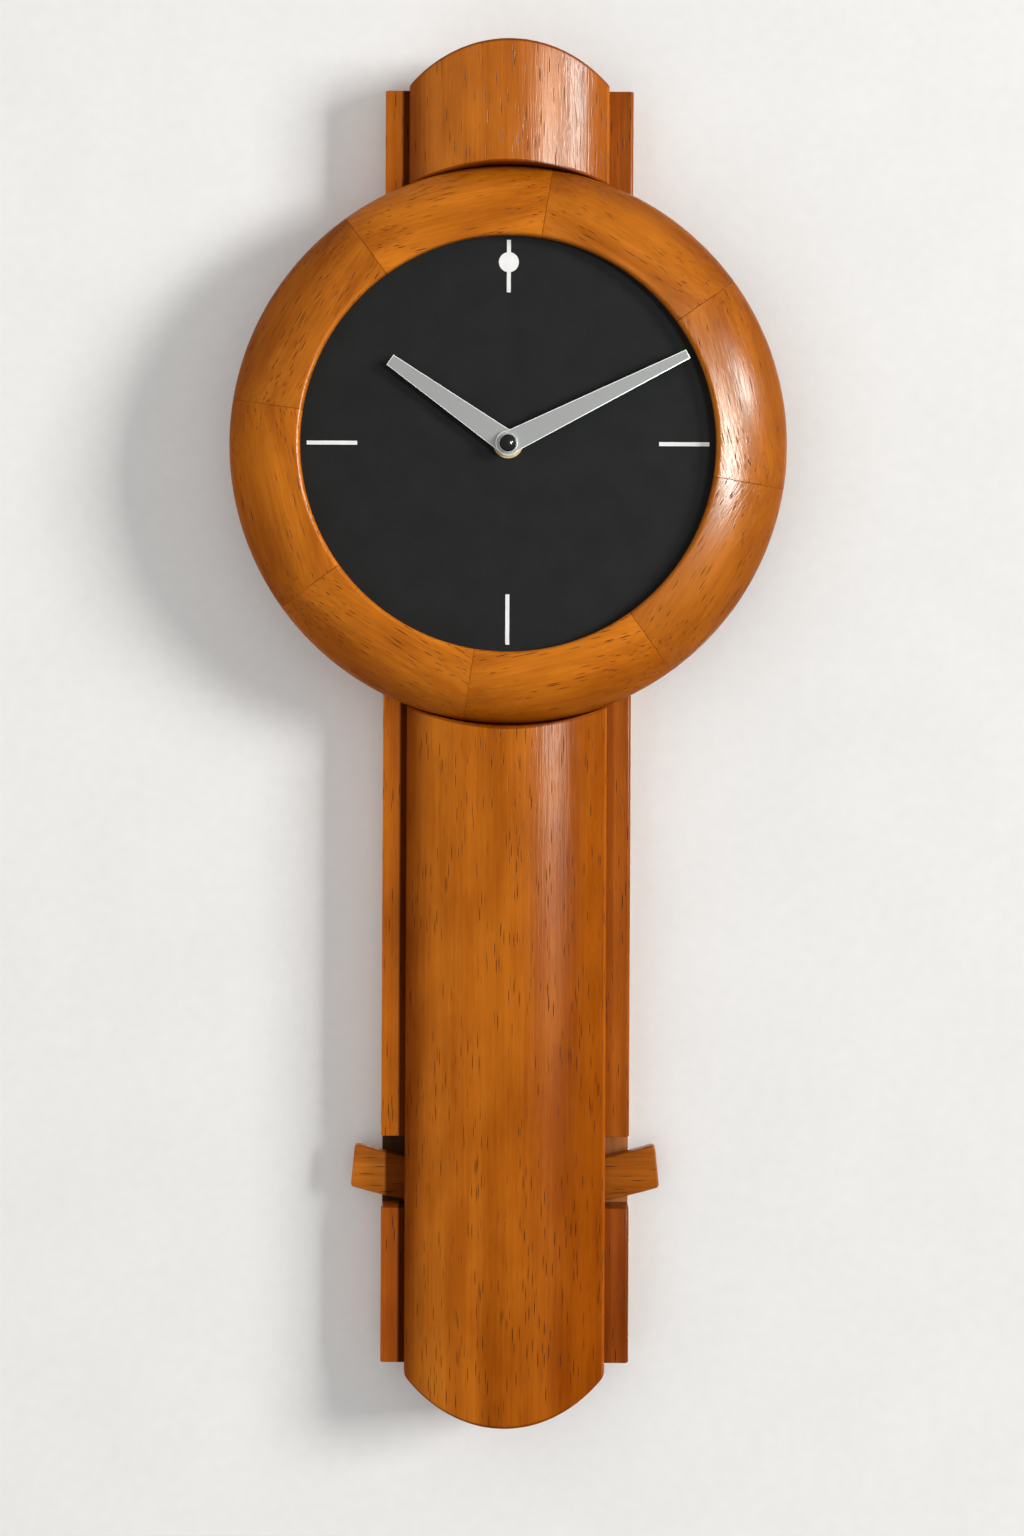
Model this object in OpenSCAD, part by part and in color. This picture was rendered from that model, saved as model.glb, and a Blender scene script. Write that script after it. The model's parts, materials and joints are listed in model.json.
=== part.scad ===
// Wall clock with a turned segmented bezel, half-round covers and a crossbar pendulum.
// Every sub-part is drawn lying on its back: x to the right, y up the wall, z out of the wall,
// with the dial axis at x = 0, y = 0. The module stand() then hangs it on the wall.

/* [Case] */
// Width across the two side rails
case_w = 114; // [104:1:124]
// Width of each side rail
rail_w = 14; // [12:0.5:16]
// Thickness of the side rails
rail_t = 14; // [13:0.5:17]
// Thickness of the backboard
board_t = 5; // [4:0.5:6]
// Height of the rails' upper end above the dial axis
rail_above = 163; // [160:1:172]
// Length of the rails below the crossbar's slots
rail_below_slot = 71; // [60:1:90]
// Height of each crossbar slot between the rails
slot_h = 33; // [32:0.5:40]
// Radius of the rails' soft outer edges
rail_edge_r = 1.6; // [0.8:0.2:3]

/* [Covers] */
// How far each cover laps onto a side rail
cover_lap = 3; // [2:0.5:5]
// Thickness of the half-round covers at the middle
cover_t = 22; // [20:0.5:25]
// Thickness of the covers at the edge, before it is rounded
cover_edge_t = 2.9; // [2.6:0.1:3.6]
// Radius of the covers' rounded long edges
cover_edge_r = 5; // [2:0.5:5.5]
// Rise of the covers' arched outer ends
cover_arch = 18.4; // [14:0.2:22]
// How far the top cover's corners stand above the rails
top_cover_over = 1.8; // [0:0.2:4]
// How far the lower cover's corners hang below the rails
lower_cover_over = 5; // [0:0.5:10]
// Radius of the lower cover's rounded bottom corners
lower_corner_r = 4; // [2:0.5:6]
// Gap between the covers' coped ends and the bezel
cope_gap = 0.5; // [0.3:0.1:1.5]

/* [Bezel] */
// Outer diameter of the turned bezel
ring_d = 254; // [246:1:260]
// Width of the bezel's face, from the outside to the dial opening
ring_wall = 33.5; // [31:0.5:37]
// Thickness of the bezel at the dial opening
ring_t = 32; // [29:0.5:35]
// Height of the bezel's side, before its edge is rounded
ring_side_h = 13.1; // [10:0.1:16]
// Bulge of the bezel's face over a straight bevel
ring_bulge = 3.4; // [2:0.1:5]
// Radius of the bezel's outer edge
ring_edge_r = 8; // [4:0.5:9]
// Radius of the soft lip at the dial opening
ring_lip_r = 1.6; // [1:0.1:2.5]
// Turn of the first glue joint, clockwise from twelve
seam_turn = 9; // [0:1:20]

/* [Dial] */
// How deep the dial lies behind the bezel's lip
dial_recess = 6; // [4:0.5:8]
// Thickness of the dial
dial_t = 3; // [2:0.5:4]
// How far the dial laps behind the lip
dial_lap = 4; // [3.6:0.1:6]
// Clearance between the dial's rim and its rebate
dial_play = 0.3; // [0.2:0.1:0.8]
// Gap between the hour marks' outer ends and the bezel
mark_gap = 3; // [2.5:0.5:12]
// Length of an hour mark
mark_len = 22.6; // [15:0.2:30]
// Extra length of the twelve mark
mark_twelve_over = 1; // [0:0.1:2]
// Width of an hour mark
mark_w = 1.8; // [1:0.1:3]
// Thickness of the hour marks
mark_t = 0.3; // [0.2:0.1:0.6]
// Diameter of the disc on the twelve mark
mark_disc_d = 9; // [6:0.5:12]

/* [Hands] */
// Gap between the minute hand's tip and the bezel
minute_tip_gap = 3.5; // [2:0.5:15]
// Width of the minute hand at the hub
minute_root_w = 10.4; // [7:0.2:11]
// Width of the minute hand at the tip
minute_tip_w = 4.2; // [2:0.2:6]
// Minute hand's turn from twelve, clockwise
minute_turn = 63.4; // [0:0.2:360]
// Length of the hour hand from the axis
hour_len = 64.8; // [50:0.2:75]
// Width of the hour hand at the hub
hour_root_w = 10.8; // [7:0.2:11]
// Width of the hour hand at the tip
hour_tip_w = 5.4; // [3:0.2:7]
// Hour hand's turn from twelve, clockwise
hour_turn = 305; // [0:1:360]
// Thickness of the hands
hand_t = 0.5; // [0.4:0.1:0.8]
// Diameter of the hands' round hubs
hub_d = 11.2; // [10:0.2:12]

/* [Movement] */
// Width and height of the movement's main case
movement_w = 56; // [55:1:60]
// Thickness of the movement's case
movement_t = 16; // [16:0.5:18]
// Wall of the movement's case
movement_wall = 1.5; // [1.2:0.1:1.6]
// Module of the motion work's gears
motion_module = 0.5; // [0.46:0.01:0.5]
// Diameter of the threaded bushing
bushing_d = 7.9; // [7.6:0.1:8.4]
// Diameter of the battery, size AA
battery_d = 14.2; // [13.5:0.1:14.5]
// Length of the battery with its nub, size AA
battery_len = 50; // [49:0.1:50.5]
// Diameter of the setting knob
knob_d = 12; // [10:0.5:13]
// Running clearance of arbors and bushes, on the radius
run_play = 0.06; // [0.04:0.01:0.1]

/* [Pendulum] */
// Drop from the dial axis to the middle of the crossbar
bar_drop = 342.6; // [320:0.2:360]
// Length of the crossbar between its lower corners
bar_w = 142.4; // [134:0.2:150]
// Height of the crossbar
bar_h = 19.4; // [17:0.2:20]
// Thickness of the crossbar
bar_t = 6; // [4:0.5:7]
// Radius of the crossbar's curved middle line
bar_bend_r = 235; // [220:5:300]
// Radius of the crossbar's rounded corners
bar_corner_r = 1.6; // [1:0.2:3]
// Slant of the crossbar's ends from upright
bar_end_slant = 5.7; // [0:0.1:12]
// Clearance between the backboard and the crossbar
bar_gap = 2; // [1.5:0.1:2.4]
// Clearance under the crossbar in its slots
slot_clear = 1.7; // [1.7:0.1:3]
// Height of the pendulum's pivot above the dial axis
pivot_up = 50; // [46:1:54]
// Width of the pendulum rod
rod_w = 8; // [6:0.5:10]
// Thickness of the pendulum rod
rod_t = 1.2; // [0.8:0.1:1.6]

/* [Hanger] */
// Distance from the rails' upper end down to the hanger's hole
hanger_inset = 29.4; // [26:0.2:32]
// Diameter of the hanger's round hole
hanger_hole_d = 10; // [9:0.5:11]
// Width of the hanger's slot
hanger_slot_w = 4.8; // [4:0.2:5.4]
// Length of the hanger's slot above the hole
hanger_slot_len = 10; // [8:0.5:11]
// Thickness of the hanger plate
hanger_t = 1.5; // [1:0.1:2]

/* [Hidden] */
$fn = 96;
large_round_fn = 240;

// Overshoot of cutting tools past the faces that they cut
cut = 1;

// Colours of the object
wood = "#a8621f";
dark_wood = "#7c4414";
board_wood = "#8d6b42";
black = "#262626";
silver = "#a9a9a9";
brass = "#c79a4b";
steel = "#b9bcc0";
white = "#f2f2ee";
case_grey = "#3a3d40";
gear_white = "#e8e4d6";
copper = "#b5622c";
gold = "#b08d2e";
board_green = "#2f6b45";

// Places of the case, measured from the dial axis and the wall
case_t = board_t + rail_t;
rail_in = case_w / 2 - rail_w;
rail_mid = case_w / 2 - rail_w / 2;
hanger_y = rail_above - hanger_inset;
bar_foot_r = bar_bend_r + bar_h / 2;
bar_roof_r = bar_bend_r - bar_h / 2;
slot_floor = -bar_drop - bar_h / 2 + bar_foot_r - sqrt(pow(bar_foot_r, 2) - pow(rail_in, 2)) - slot_clear;
slot_roof = slot_floor + slot_h;
rail_foot = slot_floor - rail_below_slot;

// Half-round covers: the arc of their section and of their ends
cover_half = rail_in + cover_lap;
cover_rise = cover_t - cover_edge_t;
cover_r = (pow(cover_half, 2) + pow(cover_rise, 2)) / (2 * cover_rise);
end_r = (pow(cover_half, 2) + pow(cover_arch, 2)) / (2 * cover_arch);
top_cover_y = rail_above + top_cover_over;
lower_cover_y = rail_foot - lower_cover_over;

// Bezel: the arc of its face runs from the lip to the top of its side
ring_r = ring_d / 2;
open_r = ring_r - ring_wall;
ring_front = case_t + ring_t;
chord_run = ring_wall;
chord_fall = ring_t - ring_side_h;
chord_len = sqrt(pow(chord_run, 2) + pow(chord_fall, 2));
face_r = (pow(chord_len / 2, 2) + pow(ring_bulge, 2)) / (2 * ring_bulge);
face_back = face_r - ring_bulge;
face_centre = [open_r + chord_run / 2 - face_back * chord_fall / chord_len,
    ring_front - chord_fall / 2 - face_back * chord_run / chord_len];

// Height of the centre of a smaller arc that touches the face's arc from inside
function height_inside_face(x, r) =
    face_centre[1] + sqrt(pow(face_r - r, 2) - pow(x - face_centre[0], 2));
edge_x = ring_r - ring_edge_r;
edge_centre = [edge_x, height_inside_face(edge_x, ring_edge_r)];
edge_dir = edge_centre - face_centre;
lip_x = open_r + ring_lip_r;
lip_centre = [lip_x, height_inside_face(lip_x, ring_lip_r)];
lip_dir = lip_centre - face_centre;
edge_steps = 6;
face_steps = 24;
segments = 8;
segment_angle = 360 / segments;

// Dial and its rebate
dial_front = ring_front - dial_recess;
dial_back = dial_front - dial_t;
dial_r = open_r + dial_lap;
rebate_r = dial_r + dial_play;
mark_outer_r = open_r - mark_gap;
minute_len = open_r - minute_tip_gap;

// Screws
screw_play = 0.1;
screw_r = 1.75;
screw_head_r = 3.4;
screw_head_t = 2;
ring_screw_len = 33;
cover_screw_len = 28;
dial_screw_r = 1.1;
dial_screw_head_r = 1.9;
dial_screw_head_t = 1;
dial_screw_len = 6.2;
ring_screw_circle = (rebate_r + ring_r) / 2;
ring_screw_y = sqrt(pow(ring_screw_circle, 2) - pow(rail_mid, 2));
ring_screw_places = [for (sx = [-1, 1], sy = [-1, 1]) [sx * rail_mid, sy * ring_screw_y]];
dial_screw_angles = [45, 135, 225, 315];
dial_screw_circle = open_r + dial_lap / 2;

// Hanger plate, let into the backboard, with room behind it for the head of a wall screw
hanger_w = 18;
hanger_h = 46;
hanger_r = 3;
hanger_lift = 4;
hanger_screw_r = 1.4;
hanger_screw_head_r = 2 * hanger_screw_r;
hanger_screw_len = 13;
hanger_screw_reach = 18;
hanger_screw_places = [for (s = [-1, 1]) [0, hanger_y + hanger_lift + s * hanger_screw_reach]];
hanger_edge = 5;
hanger_pocket_play = 1;
hanger_pocket_r = hanger_hole_d / 2 + hanger_pocket_play;
hanger_pocket_t = 5;

// Blocks between the rails, and the places of the covers' screws
block_inset = 2;
block_top = rail_above - block_inset;
block_foot = hanger_y + hanger_lift - hanger_screw_reach - hanger_edge;
foot_block_h = 34;
foot_block_y = rail_foot + block_inset;
cleat_w = 20;
cleat_h = 30;
cleat_drop = 24;
cleat_y = -ring_r - cleat_drop - cleat_h;
cover_screw_x = 22;
cover_screw_inset = 9;
cleat_screw_x = rail_in - cleat_w / 2;
cover_screw_places = [for (sx = [-1, 1]) each [
    [sx * cover_screw_x, block_top - cover_screw_inset],
    [sx * cleat_screw_x, cleat_y + cleat_h / 2],
    [sx * cover_screw_x, foot_block_y + foot_block_h / 2]]];

// Rear window of the backboard, behind the movement
window_inset = 5;
window_w = 2 * (rail_in - window_inset);
window_over_pivot = 15;
window_top = pivot_up + window_over_pivot;
window_foot = -56;
window_r = 6;

// Movement, from the dial's rear towards the wall
gasket_t = 1;
gasket_r = 11;
case_front = dial_back - gasket_t;
case_back = case_front - movement_t;
back_t = movement_wall;
inner_back = case_back + back_t;
inner_front = case_front - movement_wall;
half_w = movement_w / 2;
inner_half = half_w - movement_wall;
tower_half = 20;
tower_over_pivot = 10;
tower_top = pivot_up + tower_over_pivot;
corner_r = 4;
bay_play = 0.25;
bay_r = battery_d / 2 + bay_play;
battery_y = -half_w + movement_wall + bay_r;
battery_sink = 0.3;
battery_z = case_back + battery_d / 2 + battery_sink;
bay_top = battery_y + bay_r;
contact_t = 0.6;
contact_play = 0.1;
contact_w = 8.5;
spring_r1 = 2.8;
spring_r2 = 1.7;
nub_r = 2.7;
nub_len = 1.2;

// Gear layers of the movement, each one the middle of a wheel's thickness
hour_layer_depth = 1.6;
motion_layer_step = 2.8;
centre_layer_step = 2.8;
third_layer_step = 2.5;
rotor_layer_step = 1.7;
hour_layer = inner_front - hour_layer_depth;
motion_layer = hour_layer - motion_layer_step;
centre_layer = motion_layer - centre_layer_step;
third_layer = centre_layer - third_layer_step;
rotor_layer = third_layer - rotor_layer_step;
wheel_t = 0.8;
pinion_t = 1.6;
arbor_r = 0.6;
pivot_depth = 0.8;
pivot_end_play = 0.1;
arbor_back = inner_back - pivot_depth + pivot_end_play;
arbor_front = inner_front + pivot_depth - pivot_end_play;

// Gear trains: numbers of teeth
cannon_teeth = 10;
minute_teeth = 30;
minute_pinion_teeth = 8;
hour_teeth = 32;
set_teeth = 12;
pinion_teeth = 8;
centre_teeth = 64;
third_teeth = 60;
seconds_teeth = 40;
intermediate_teeth = 48;
centre_module = 0.27;
train_module = 0.22;
rotor_module = 0.18;

// Gear trains: places of the arbors, each one from the arbor that it meshes with
function pitch_sum(mod, a, b) = mod * (a + b) / 2;
function from_arbor(place, length, dir) = place + length * [cos(dir), sin(dir)];
function mesh_turn(turn, a, b, dir) = dir + 180 + (180 - (turn - dir) * a) / b;
minute_dir = 165;
set_dir = 150;
third_dir = 40;
seconds_dir = 90;
intermediate_dir = 180;
rotor_dir = 150;
minute_place = from_arbor([0, 0], pitch_sum(motion_module, cannon_teeth, minute_teeth), minute_dir);
set_place = from_arbor(minute_place, pitch_sum(motion_module, minute_teeth, set_teeth), set_dir);
third_place = from_arbor([0, 0], pitch_sum(centre_module, centre_teeth, pinion_teeth), third_dir);
seconds_place = from_arbor(third_place, pitch_sum(train_module, third_teeth, pinion_teeth), seconds_dir);
intermediate_place =
    from_arbor(seconds_place, pitch_sum(train_module, seconds_teeth, pinion_teeth), intermediate_dir);
rotor_place =
    from_arbor(intermediate_place, pitch_sum(rotor_module, intermediate_teeth, pinion_teeth), rotor_dir);

// Gear trains: the turn that puts each wheel in mesh
minute_wheel_turn = mesh_turn(0, cannon_teeth, minute_teeth, minute_dir);
hour_wheel_turn = mesh_turn(minute_wheel_turn, minute_pinion_teeth, hour_teeth, minute_dir + 180);
set_turn = mesh_turn(minute_wheel_turn, minute_teeth, set_teeth, set_dir);
third_turn = mesh_turn(0, centre_teeth, pinion_teeth, third_dir);
seconds_turn = mesh_turn(third_turn, third_teeth, pinion_teeth, seconds_dir);
intermediate_turn = mesh_turn(seconds_turn, seconds_teeth, pinion_teeth, intermediate_dir);
rotor_turn = mesh_turn(intermediate_turn, intermediate_teeth, pinion_teeth, rotor_dir);

// Tooth form: share of the module that each part of a tooth takes
wheel_addendum = 0.6;
pinion_addendum = 0.85;
dedendum = 1.15;
tooth_slack = 0.13;
pressure_angle = 20;
pinion_limit = 12;
pinion_flank = 0.25;

// Centre of the movement: the shafts inside one another, and what stacks on the dial
cannon_r = 1.5;
cannon_back_r = 1.2;
hour_tube_r = 2.4;
bushing_bore_r = hour_tube_r + run_play;
dial_hole_play = 0.15;
washer_r = 6.7;
washer_t = 0.5;
nut_flats = 10;
nut_t = 1.8;
nut_front = dial_front + washer_t + nut_t;
bushing_over_nut = 0.5;
bushing_front = nut_front + bushing_over_nut;
hand_gap = 0.5;
hour_hand_clear = 0.8;
hour_tube_over = 0.2;
hour_hand_back = bushing_front + hour_hand_clear;
hour_tube_front = hour_hand_back + hand_t + hour_tube_over;
hour_collar_wall = 1;
hour_collar_t = 0.6;
minute_hand_back = hour_tube_front + hand_gap;
minute_hand_front = minute_hand_back + hand_t;
hand_nut_r = 4.4;
hand_nut_t = 1.1;
hand_nut_taper = 0.3;
stud_r = 1.1;
cap_r = 3.9;
cap_h = 2.7;

// Wheels and pinions that differ from the common thicknesses, and their hubs
cannon_pinion_t = 2;
minute_pinion_t = 2.2;
minute_pinion_drop = 0.2;
minute_hub_r = 1.8;
minute_hub_below_hour = 1.3;
centre_hub_r = 2.4;
centre_hub_back = 1.2;
centre_hub_front = 1.1;

// Setting knob, with grooves round its rim
knob_gap = 0.4;
knob_t = 4;
knob_grooves = 12;
knob_groove_r = 1.1;
knob_groove_out = 0.5;
knob_groove_stop = 1;
set_arbor_play = 0.2;

// Circuit board, stator and coils of the movement
side_play = 0.5;
board_w = 9.5;
board_h = 30;
board_foot = -8;
board_x = inner_half - side_play - board_w;
board_post_r = 1.5;
board_post_inset = 3;
board_posts = [for (y = [board_foot + board_post_inset, board_foot + board_h - board_post_inset])
    [board_x + board_w / 2, y]];
circuit_drop = 1.4;
circuit_back = motion_layer - circuit_drop;
circuit_t = 1;
chip_w = 5;
chip_t = 1.2;
chip_y = 4;
stator_lift = 1.1;
stator_back = third_layer + stator_lift;
stator_t = 0.8;
stator_ring_r = 3.8;
stator_gap = 0.4;
stator_bar_w = 2.2;
stator_post_r = 1.2;
stator_post_inset = 1.6;
stator_post_up = 3.6;
stator_end = -inner_half + side_play;
stator_post = [stator_end + stator_post_inset, rotor_place[1] + stator_post_up];
rotor_magnet_r = 2.4;
rotor_magnet_over = 0.6;
drive_coil_r = 3.2;
drive_coil_bore_r = 1.35;
drive_coil_gap = 0.8;
coil_seat_r = 2;
pendulum_coil_r = 8;
pendulum_coil_t = 6;
pendulum_coil_lift = 1.5;
pendulum_coil_back = inner_back + pendulum_coil_lift;
arbor_places = [third_place, seconds_place, intermediate_place, rotor_place, minute_place];

// Pendulum drive
lever_room = 5.6;
lever_back = case_back - lever_room;
lever_t = 3;
lever_rib_w = 1.4;
lever_rib_t = 1;
lever_arm_w = 7;
lever_hub_r = 4.5;
lever_foot_y = -46;
lever_pad_drop = 15;
lever_pad_y = pivot_up - lever_pad_drop;
lever_pad_r = 6.5;
magnet_r = 5;
magnet_gap = 0.5;
pin_r = 1.2;
pin_head_r = 2.4;
pin_head_t = 0.8;
pin_end_play = 0.4;
hub_r = 3.5;
hub_over = 1.2;
hub_front = case_back - magnet_gap;
hub_back = lever_back - hub_over;
rod_back = board_t + bar_gap + bar_t;
rod_front = rod_back + rod_t;
stud_post_r = 1.5;
stud_collar_r = 2.6;
stud_head_r = 2.2;
stud_head_t = 0.7;
stud_play = 0.1;
rod_eye_r = 5;
rod_top_y = lever_foot_y;
rod_inset = 2;
rod_foot_y = -bar_drop - bar_h / 2 + rod_inset;
bar_end_low = -sqrt(pow(bar_foot_r, 2) - pow(bar_w / 2, 2));
bar_end_normal = [cos(bar_end_slant), sin(bar_end_slant)];
bar_end_line = [-sin(bar_end_slant), cos(bar_end_slant)];
bar_end_out = bar_end_normal * [bar_w / 2, bar_end_low];
function bar_corner(centre_r) =
    let (out = bar_end_out - bar_corner_r)
    out * bar_end_normal - sqrt(pow(centre_r, 2) - pow(out, 2)) * bar_end_line;
bar_screw_pitch = 9;
bar_screw_r = 1.1;
bar_screw_head_r = 2.2;
bar_screw_head_t = 1;
bar_screw_len = 5;

// Hangs a piece that was drawn on its back: the hanger's hole comes to the origin
module stand() {
    translate([0, 0, -hanger_y]) rotate([90, 0, 0]) children();
}

// A straight piece between two distances from the wall
module slab(back, front) {
    translate([0, 0, back]) linear_extrude(height = front - back) children();
}

// A round bar between two distances from the wall
module shaft(r, back, front) {
    translate([0, 0, back]) cylinder(r = r, h = front - back);
}

module at(place) {
    translate([place[0], place[1], 0]) children();
}

module rounded_rect(w, h, r) {
    square([w - 2 * r, h], center = true);
    square([w, h - 2 * r], center = true);
    for (sx = [-1, 1], sy = [-1, 1]) translate([sx * (w / 2 - r), sy * (h / 2 - r)]) circle(r);
}

// Countersunk wood screw, its head's flat face at the given distance from the wall
module countersunk(r, head_r, head_t, back, length, play) {
    shaft(r + play, back, back + length);
    translate([0, 0, back]) cylinder(r1 = head_r + play, r2 = r + play, h = head_t);
}

module ring_screw_holes() {
    for (p = ring_screw_places) at(p) {
        countersunk(screw_r, screw_head_r, screw_head_t, 0, ring_screw_len + screw_play, screw_play);
        shaft(screw_head_r + screw_play, -cut, 0);
    }
}

module cover_screw_holes() {
    for (p = cover_screw_places) at(p) {
        countersunk(screw_r, screw_head_r, screw_head_t, 0, cover_screw_len + screw_play, screw_play);
        shaft(screw_head_r + screw_play, -cut, 0);
    }
}

// Space for the wall screw's head behind the hanger plate
module hanger_pocket() {
    at([0, hanger_y]) slab(hanger_t, board_t + hanger_pocket_t) {
        circle(hanger_pocket_r);
        translate([0, hanger_slot_len]) circle(hanger_pocket_r);
        translate([-hanger_pocket_r, 0]) square([2 * hanger_pocket_r, hanger_slot_len]);
    }
}

module hanger_plate_outline(play) {
    translate([0, hanger_y + hanger_lift]) rounded_rect(hanger_w + 2 * play, hanger_h + 2 * play, hanger_r);
}

module backboard() {
    color(board_wood) stand() difference() {
        slab(0, board_t) translate([-case_w / 2, rail_foot]) square([case_w, rail_above - rail_foot]);
        slab(-cut, board_t + cut)
            translate([0, (window_top + window_foot) / 2])
            rounded_rect(window_w, window_top - window_foot, window_r);
        hanger_pocket();
        slab(-cut, hanger_t) hanger_plate_outline(screw_play);
        for (p = hanger_screw_places) at(p) shaft(hanger_screw_r + screw_play, 0, board_t + cut);
        ring_screw_holes();
        cover_screw_holes();
    }
}

// Side rail between two heights, its outer front edge and its free outer corners softened
module rail(foot, head, soft_foot, soft_head) {
    outer = case_w / 2;
    r = rail_edge_r;
    difference() {
        intersection() {
            translate([0, head, 0]) rotate([90, 0, 0]) linear_extrude(height = head - foot) {
                translate([rail_in, board_t]) square([rail_w - r, rail_t]);
                translate([rail_in, board_t]) square([rail_w, rail_t - r]);
                translate([outer - r, case_t - r]) circle(r);
            }
            slab(board_t - cut, case_t + cut) {
                translate([rail_in, foot]) square([rail_w - r, head - foot]);
                translate([rail_in, foot + (soft_foot ? r : 0)])
                    square([rail_w, head - foot - (soft_foot ? r : 0) - (soft_head ? r : 0)]);
                if (soft_foot) translate([outer - r, foot + r]) circle(r);
                if (soft_head) translate([outer - r, head - r]) circle(r);
            }
        }
        ring_screw_holes();
    }
}

module left_upper_rail() {
    color(wood) stand() mirror([1, 0, 0]) rail(slot_roof, rail_above, false, true);
}

module right_upper_rail() {
    color(wood) stand() rail(slot_roof, rail_above, false, true);
}

module left_lower_rail() {
    color(wood) stand() mirror([1, 0, 0]) rail(rail_foot, slot_floor, true, false);
}

module right_lower_rail() {
    color(wood) stand() rail(rail_foot, slot_floor, true, false);
}

module top_block() {
    color(dark_wood) stand() difference() {
        slab(board_t, case_t)
            translate([-rail_in, block_foot]) square([2 * rail_in, block_top - block_foot]);
        hanger_pocket();
        for (p = hanger_screw_places) at(p)
            shaft(hanger_screw_r + screw_play, 0, hanger_screw_len + screw_play);
        cover_screw_holes();
    }
}

module bottom_block() {
    color(dark_wood) stand() difference() {
        slab(board_t, case_t) translate([-rail_in, foot_block_y]) square([2 * rail_in, foot_block_h]);
        cover_screw_holes();
    }
}

module cover_cleats() {
    color(dark_wood) stand() difference() {
        slab(board_t, case_t) for (x = [-rail_in, rail_in - cleat_w])
            translate([x, cleat_y]) square([cleat_w, cleat_h]);
        cover_screw_holes();
    }
}

// Points along an arc, from one direction to another
function arc(centre, r, from, to, steps) =
    [for (i = [0 : steps]) let (a = from + (to - from) * i / steps) centre + r * [cos(a), sin(a)]];

// Half-round section of the covers, its flat back on the rails
module cover_section() {
    middle = [0, cover_t - cover_r];
    edge_x = cover_half - cover_edge_r;
    edge_z = middle[1] + sqrt(pow(cover_r - cover_edge_r, 2) - pow(edge_x, 2));
    edge_turn = atan2(edge_z - middle[1], edge_x);
    translate([0, case_t]) polygon(concat(
        [[cover_half, 0]],
        arc([edge_x, edge_z], cover_edge_r, 0, edge_turn, edge_steps),
        arc(middle, cover_r, edge_turn, 180 - edge_turn, face_steps),
        arc([-edge_x, edge_z], cover_edge_r, 180 - edge_turn, 180, edge_steps),
        [[-cover_half, 0]]));
}

module cover_board(low, high) {
    translate([0, high, 0]) rotate([90, 0, 0]) linear_extrude(height = high - low) cover_section();
}

module bezel_clearance() {
    shaft(ring_r + cope_gap, case_t - cut, ring_front + cut);
}

module top_cover() {
    color(wood) stand() difference() {
        intersection() {
            cover_board(0, top_cover_y + cover_arch);
            slab(case_t - cut, ring_front) {
                translate([0, top_cover_y + cover_arch - end_r]) circle(end_r, $fn = large_round_fn);
                translate([-cover_half, 0]) square([2 * cover_half, top_cover_y]);
            }
        }
        bezel_clearance();
        cover_screw_holes();
    }
}

module lower_cover() {
    color(wood) stand() difference() {
        intersection() {
            cover_board(lower_cover_y - cover_arch, 0);
            slab(case_t - cut, ring_front) lower_cover_outline();
        }
        bezel_clearance();
        cover_screw_holes();
    }
}

// Outline of the lower cover: straight sides, soft corners and the arched lower end
module lower_cover_outline() {
    middle = [0, lower_cover_y - cover_arch + end_r];
    corner_x = cover_half - lower_corner_r;
    corner_y = middle[1] - sqrt(pow(end_r - lower_corner_r, 2) - pow(corner_x, 2));
    corner_turn = atan2(corner_x, middle[1] - corner_y);
    polygon(concat(
        [[-cover_half, 0]],
        arc([-corner_x, corner_y], lower_corner_r, 180, 270 - corner_turn, edge_steps),
        arc(middle, end_r, 270 - corner_turn, 270 + corner_turn, face_steps),
        arc([corner_x, corner_y], lower_corner_r, 270 + corner_turn, 360, edge_steps),
        [[cover_half, 0]]));
}

// Turned section of the bezel: flat back, side, rounded edge, face, soft lip and the dial's rebate
module bezel_section() {
    edge_turn = atan2(edge_dir[1], edge_dir[0]);
    lip_turn = atan2(lip_dir[1], lip_dir[0]);
    polygon(concat(
        [[rebate_r, case_t], [ring_r, case_t]],
        arc(edge_centre, ring_edge_r, 0, edge_turn, edge_steps),
        arc(face_centre, face_r, edge_turn, lip_turn, face_steps),
        arc(lip_centre, ring_lip_r, lip_turn, 180, edge_steps),
        [[open_r, dial_front], [rebate_r, dial_front]]));
}

module bezel_segment(k) {
    color(wood) stand() difference() {
        rotate([0, 0, 90 - seam_turn - k * segment_angle])
            rotate_extrude(angle = segment_angle, $fn = large_round_fn) bezel_section();
        ring_screw_holes();
        dial_screw_bodies(screw_play);
    }
}

module dial_screw_bodies(play) {
    for (a = dial_screw_angles) rotate([0, 0, a]) translate([dial_screw_circle, 0, 0])
        shaft(dial_screw_r + play, dial_back - play, dial_back + dial_screw_len + play);
}

module dial() {
    color(black) stand() difference() {
        slab(dial_back, dial_front) circle(dial_r);
        shaft(bushing_d / 2 + dial_hole_play, dial_back - cut, dial_front + cut);
        dial_screw_bodies(screw_play);
    }
}

module hour_markers() {
    color(white) stand() slab(dial_front, dial_front + mark_t) {
        for (a = [0:90:270]) rotate(a)
            translate([mark_outer_r - mark_len, -mark_w / 2]) square([mark_len, mark_w]);
        translate([-mark_w / 2, mark_outer_r]) square([mark_w, mark_twelve_over]);
        translate([0, mark_outer_r - mark_disc_d]) circle(mark_disc_d / 2);
    }
}

module dial_screws() {
    color(steel) stand() {
        dial_screw_bodies(0);
        for (a = dial_screw_angles) rotate([0, 0, a]) translate([dial_screw_circle, 0, 0])
            shaft(dial_screw_head_r, dial_back - dial_screw_head_t, dial_back);
    }
}

module ring_screws() {
    color(steel) stand() for (p = ring_screw_places) at(p)
        countersunk(screw_r, screw_head_r, screw_head_t, 0, ring_screw_len, 0);
}

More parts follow.
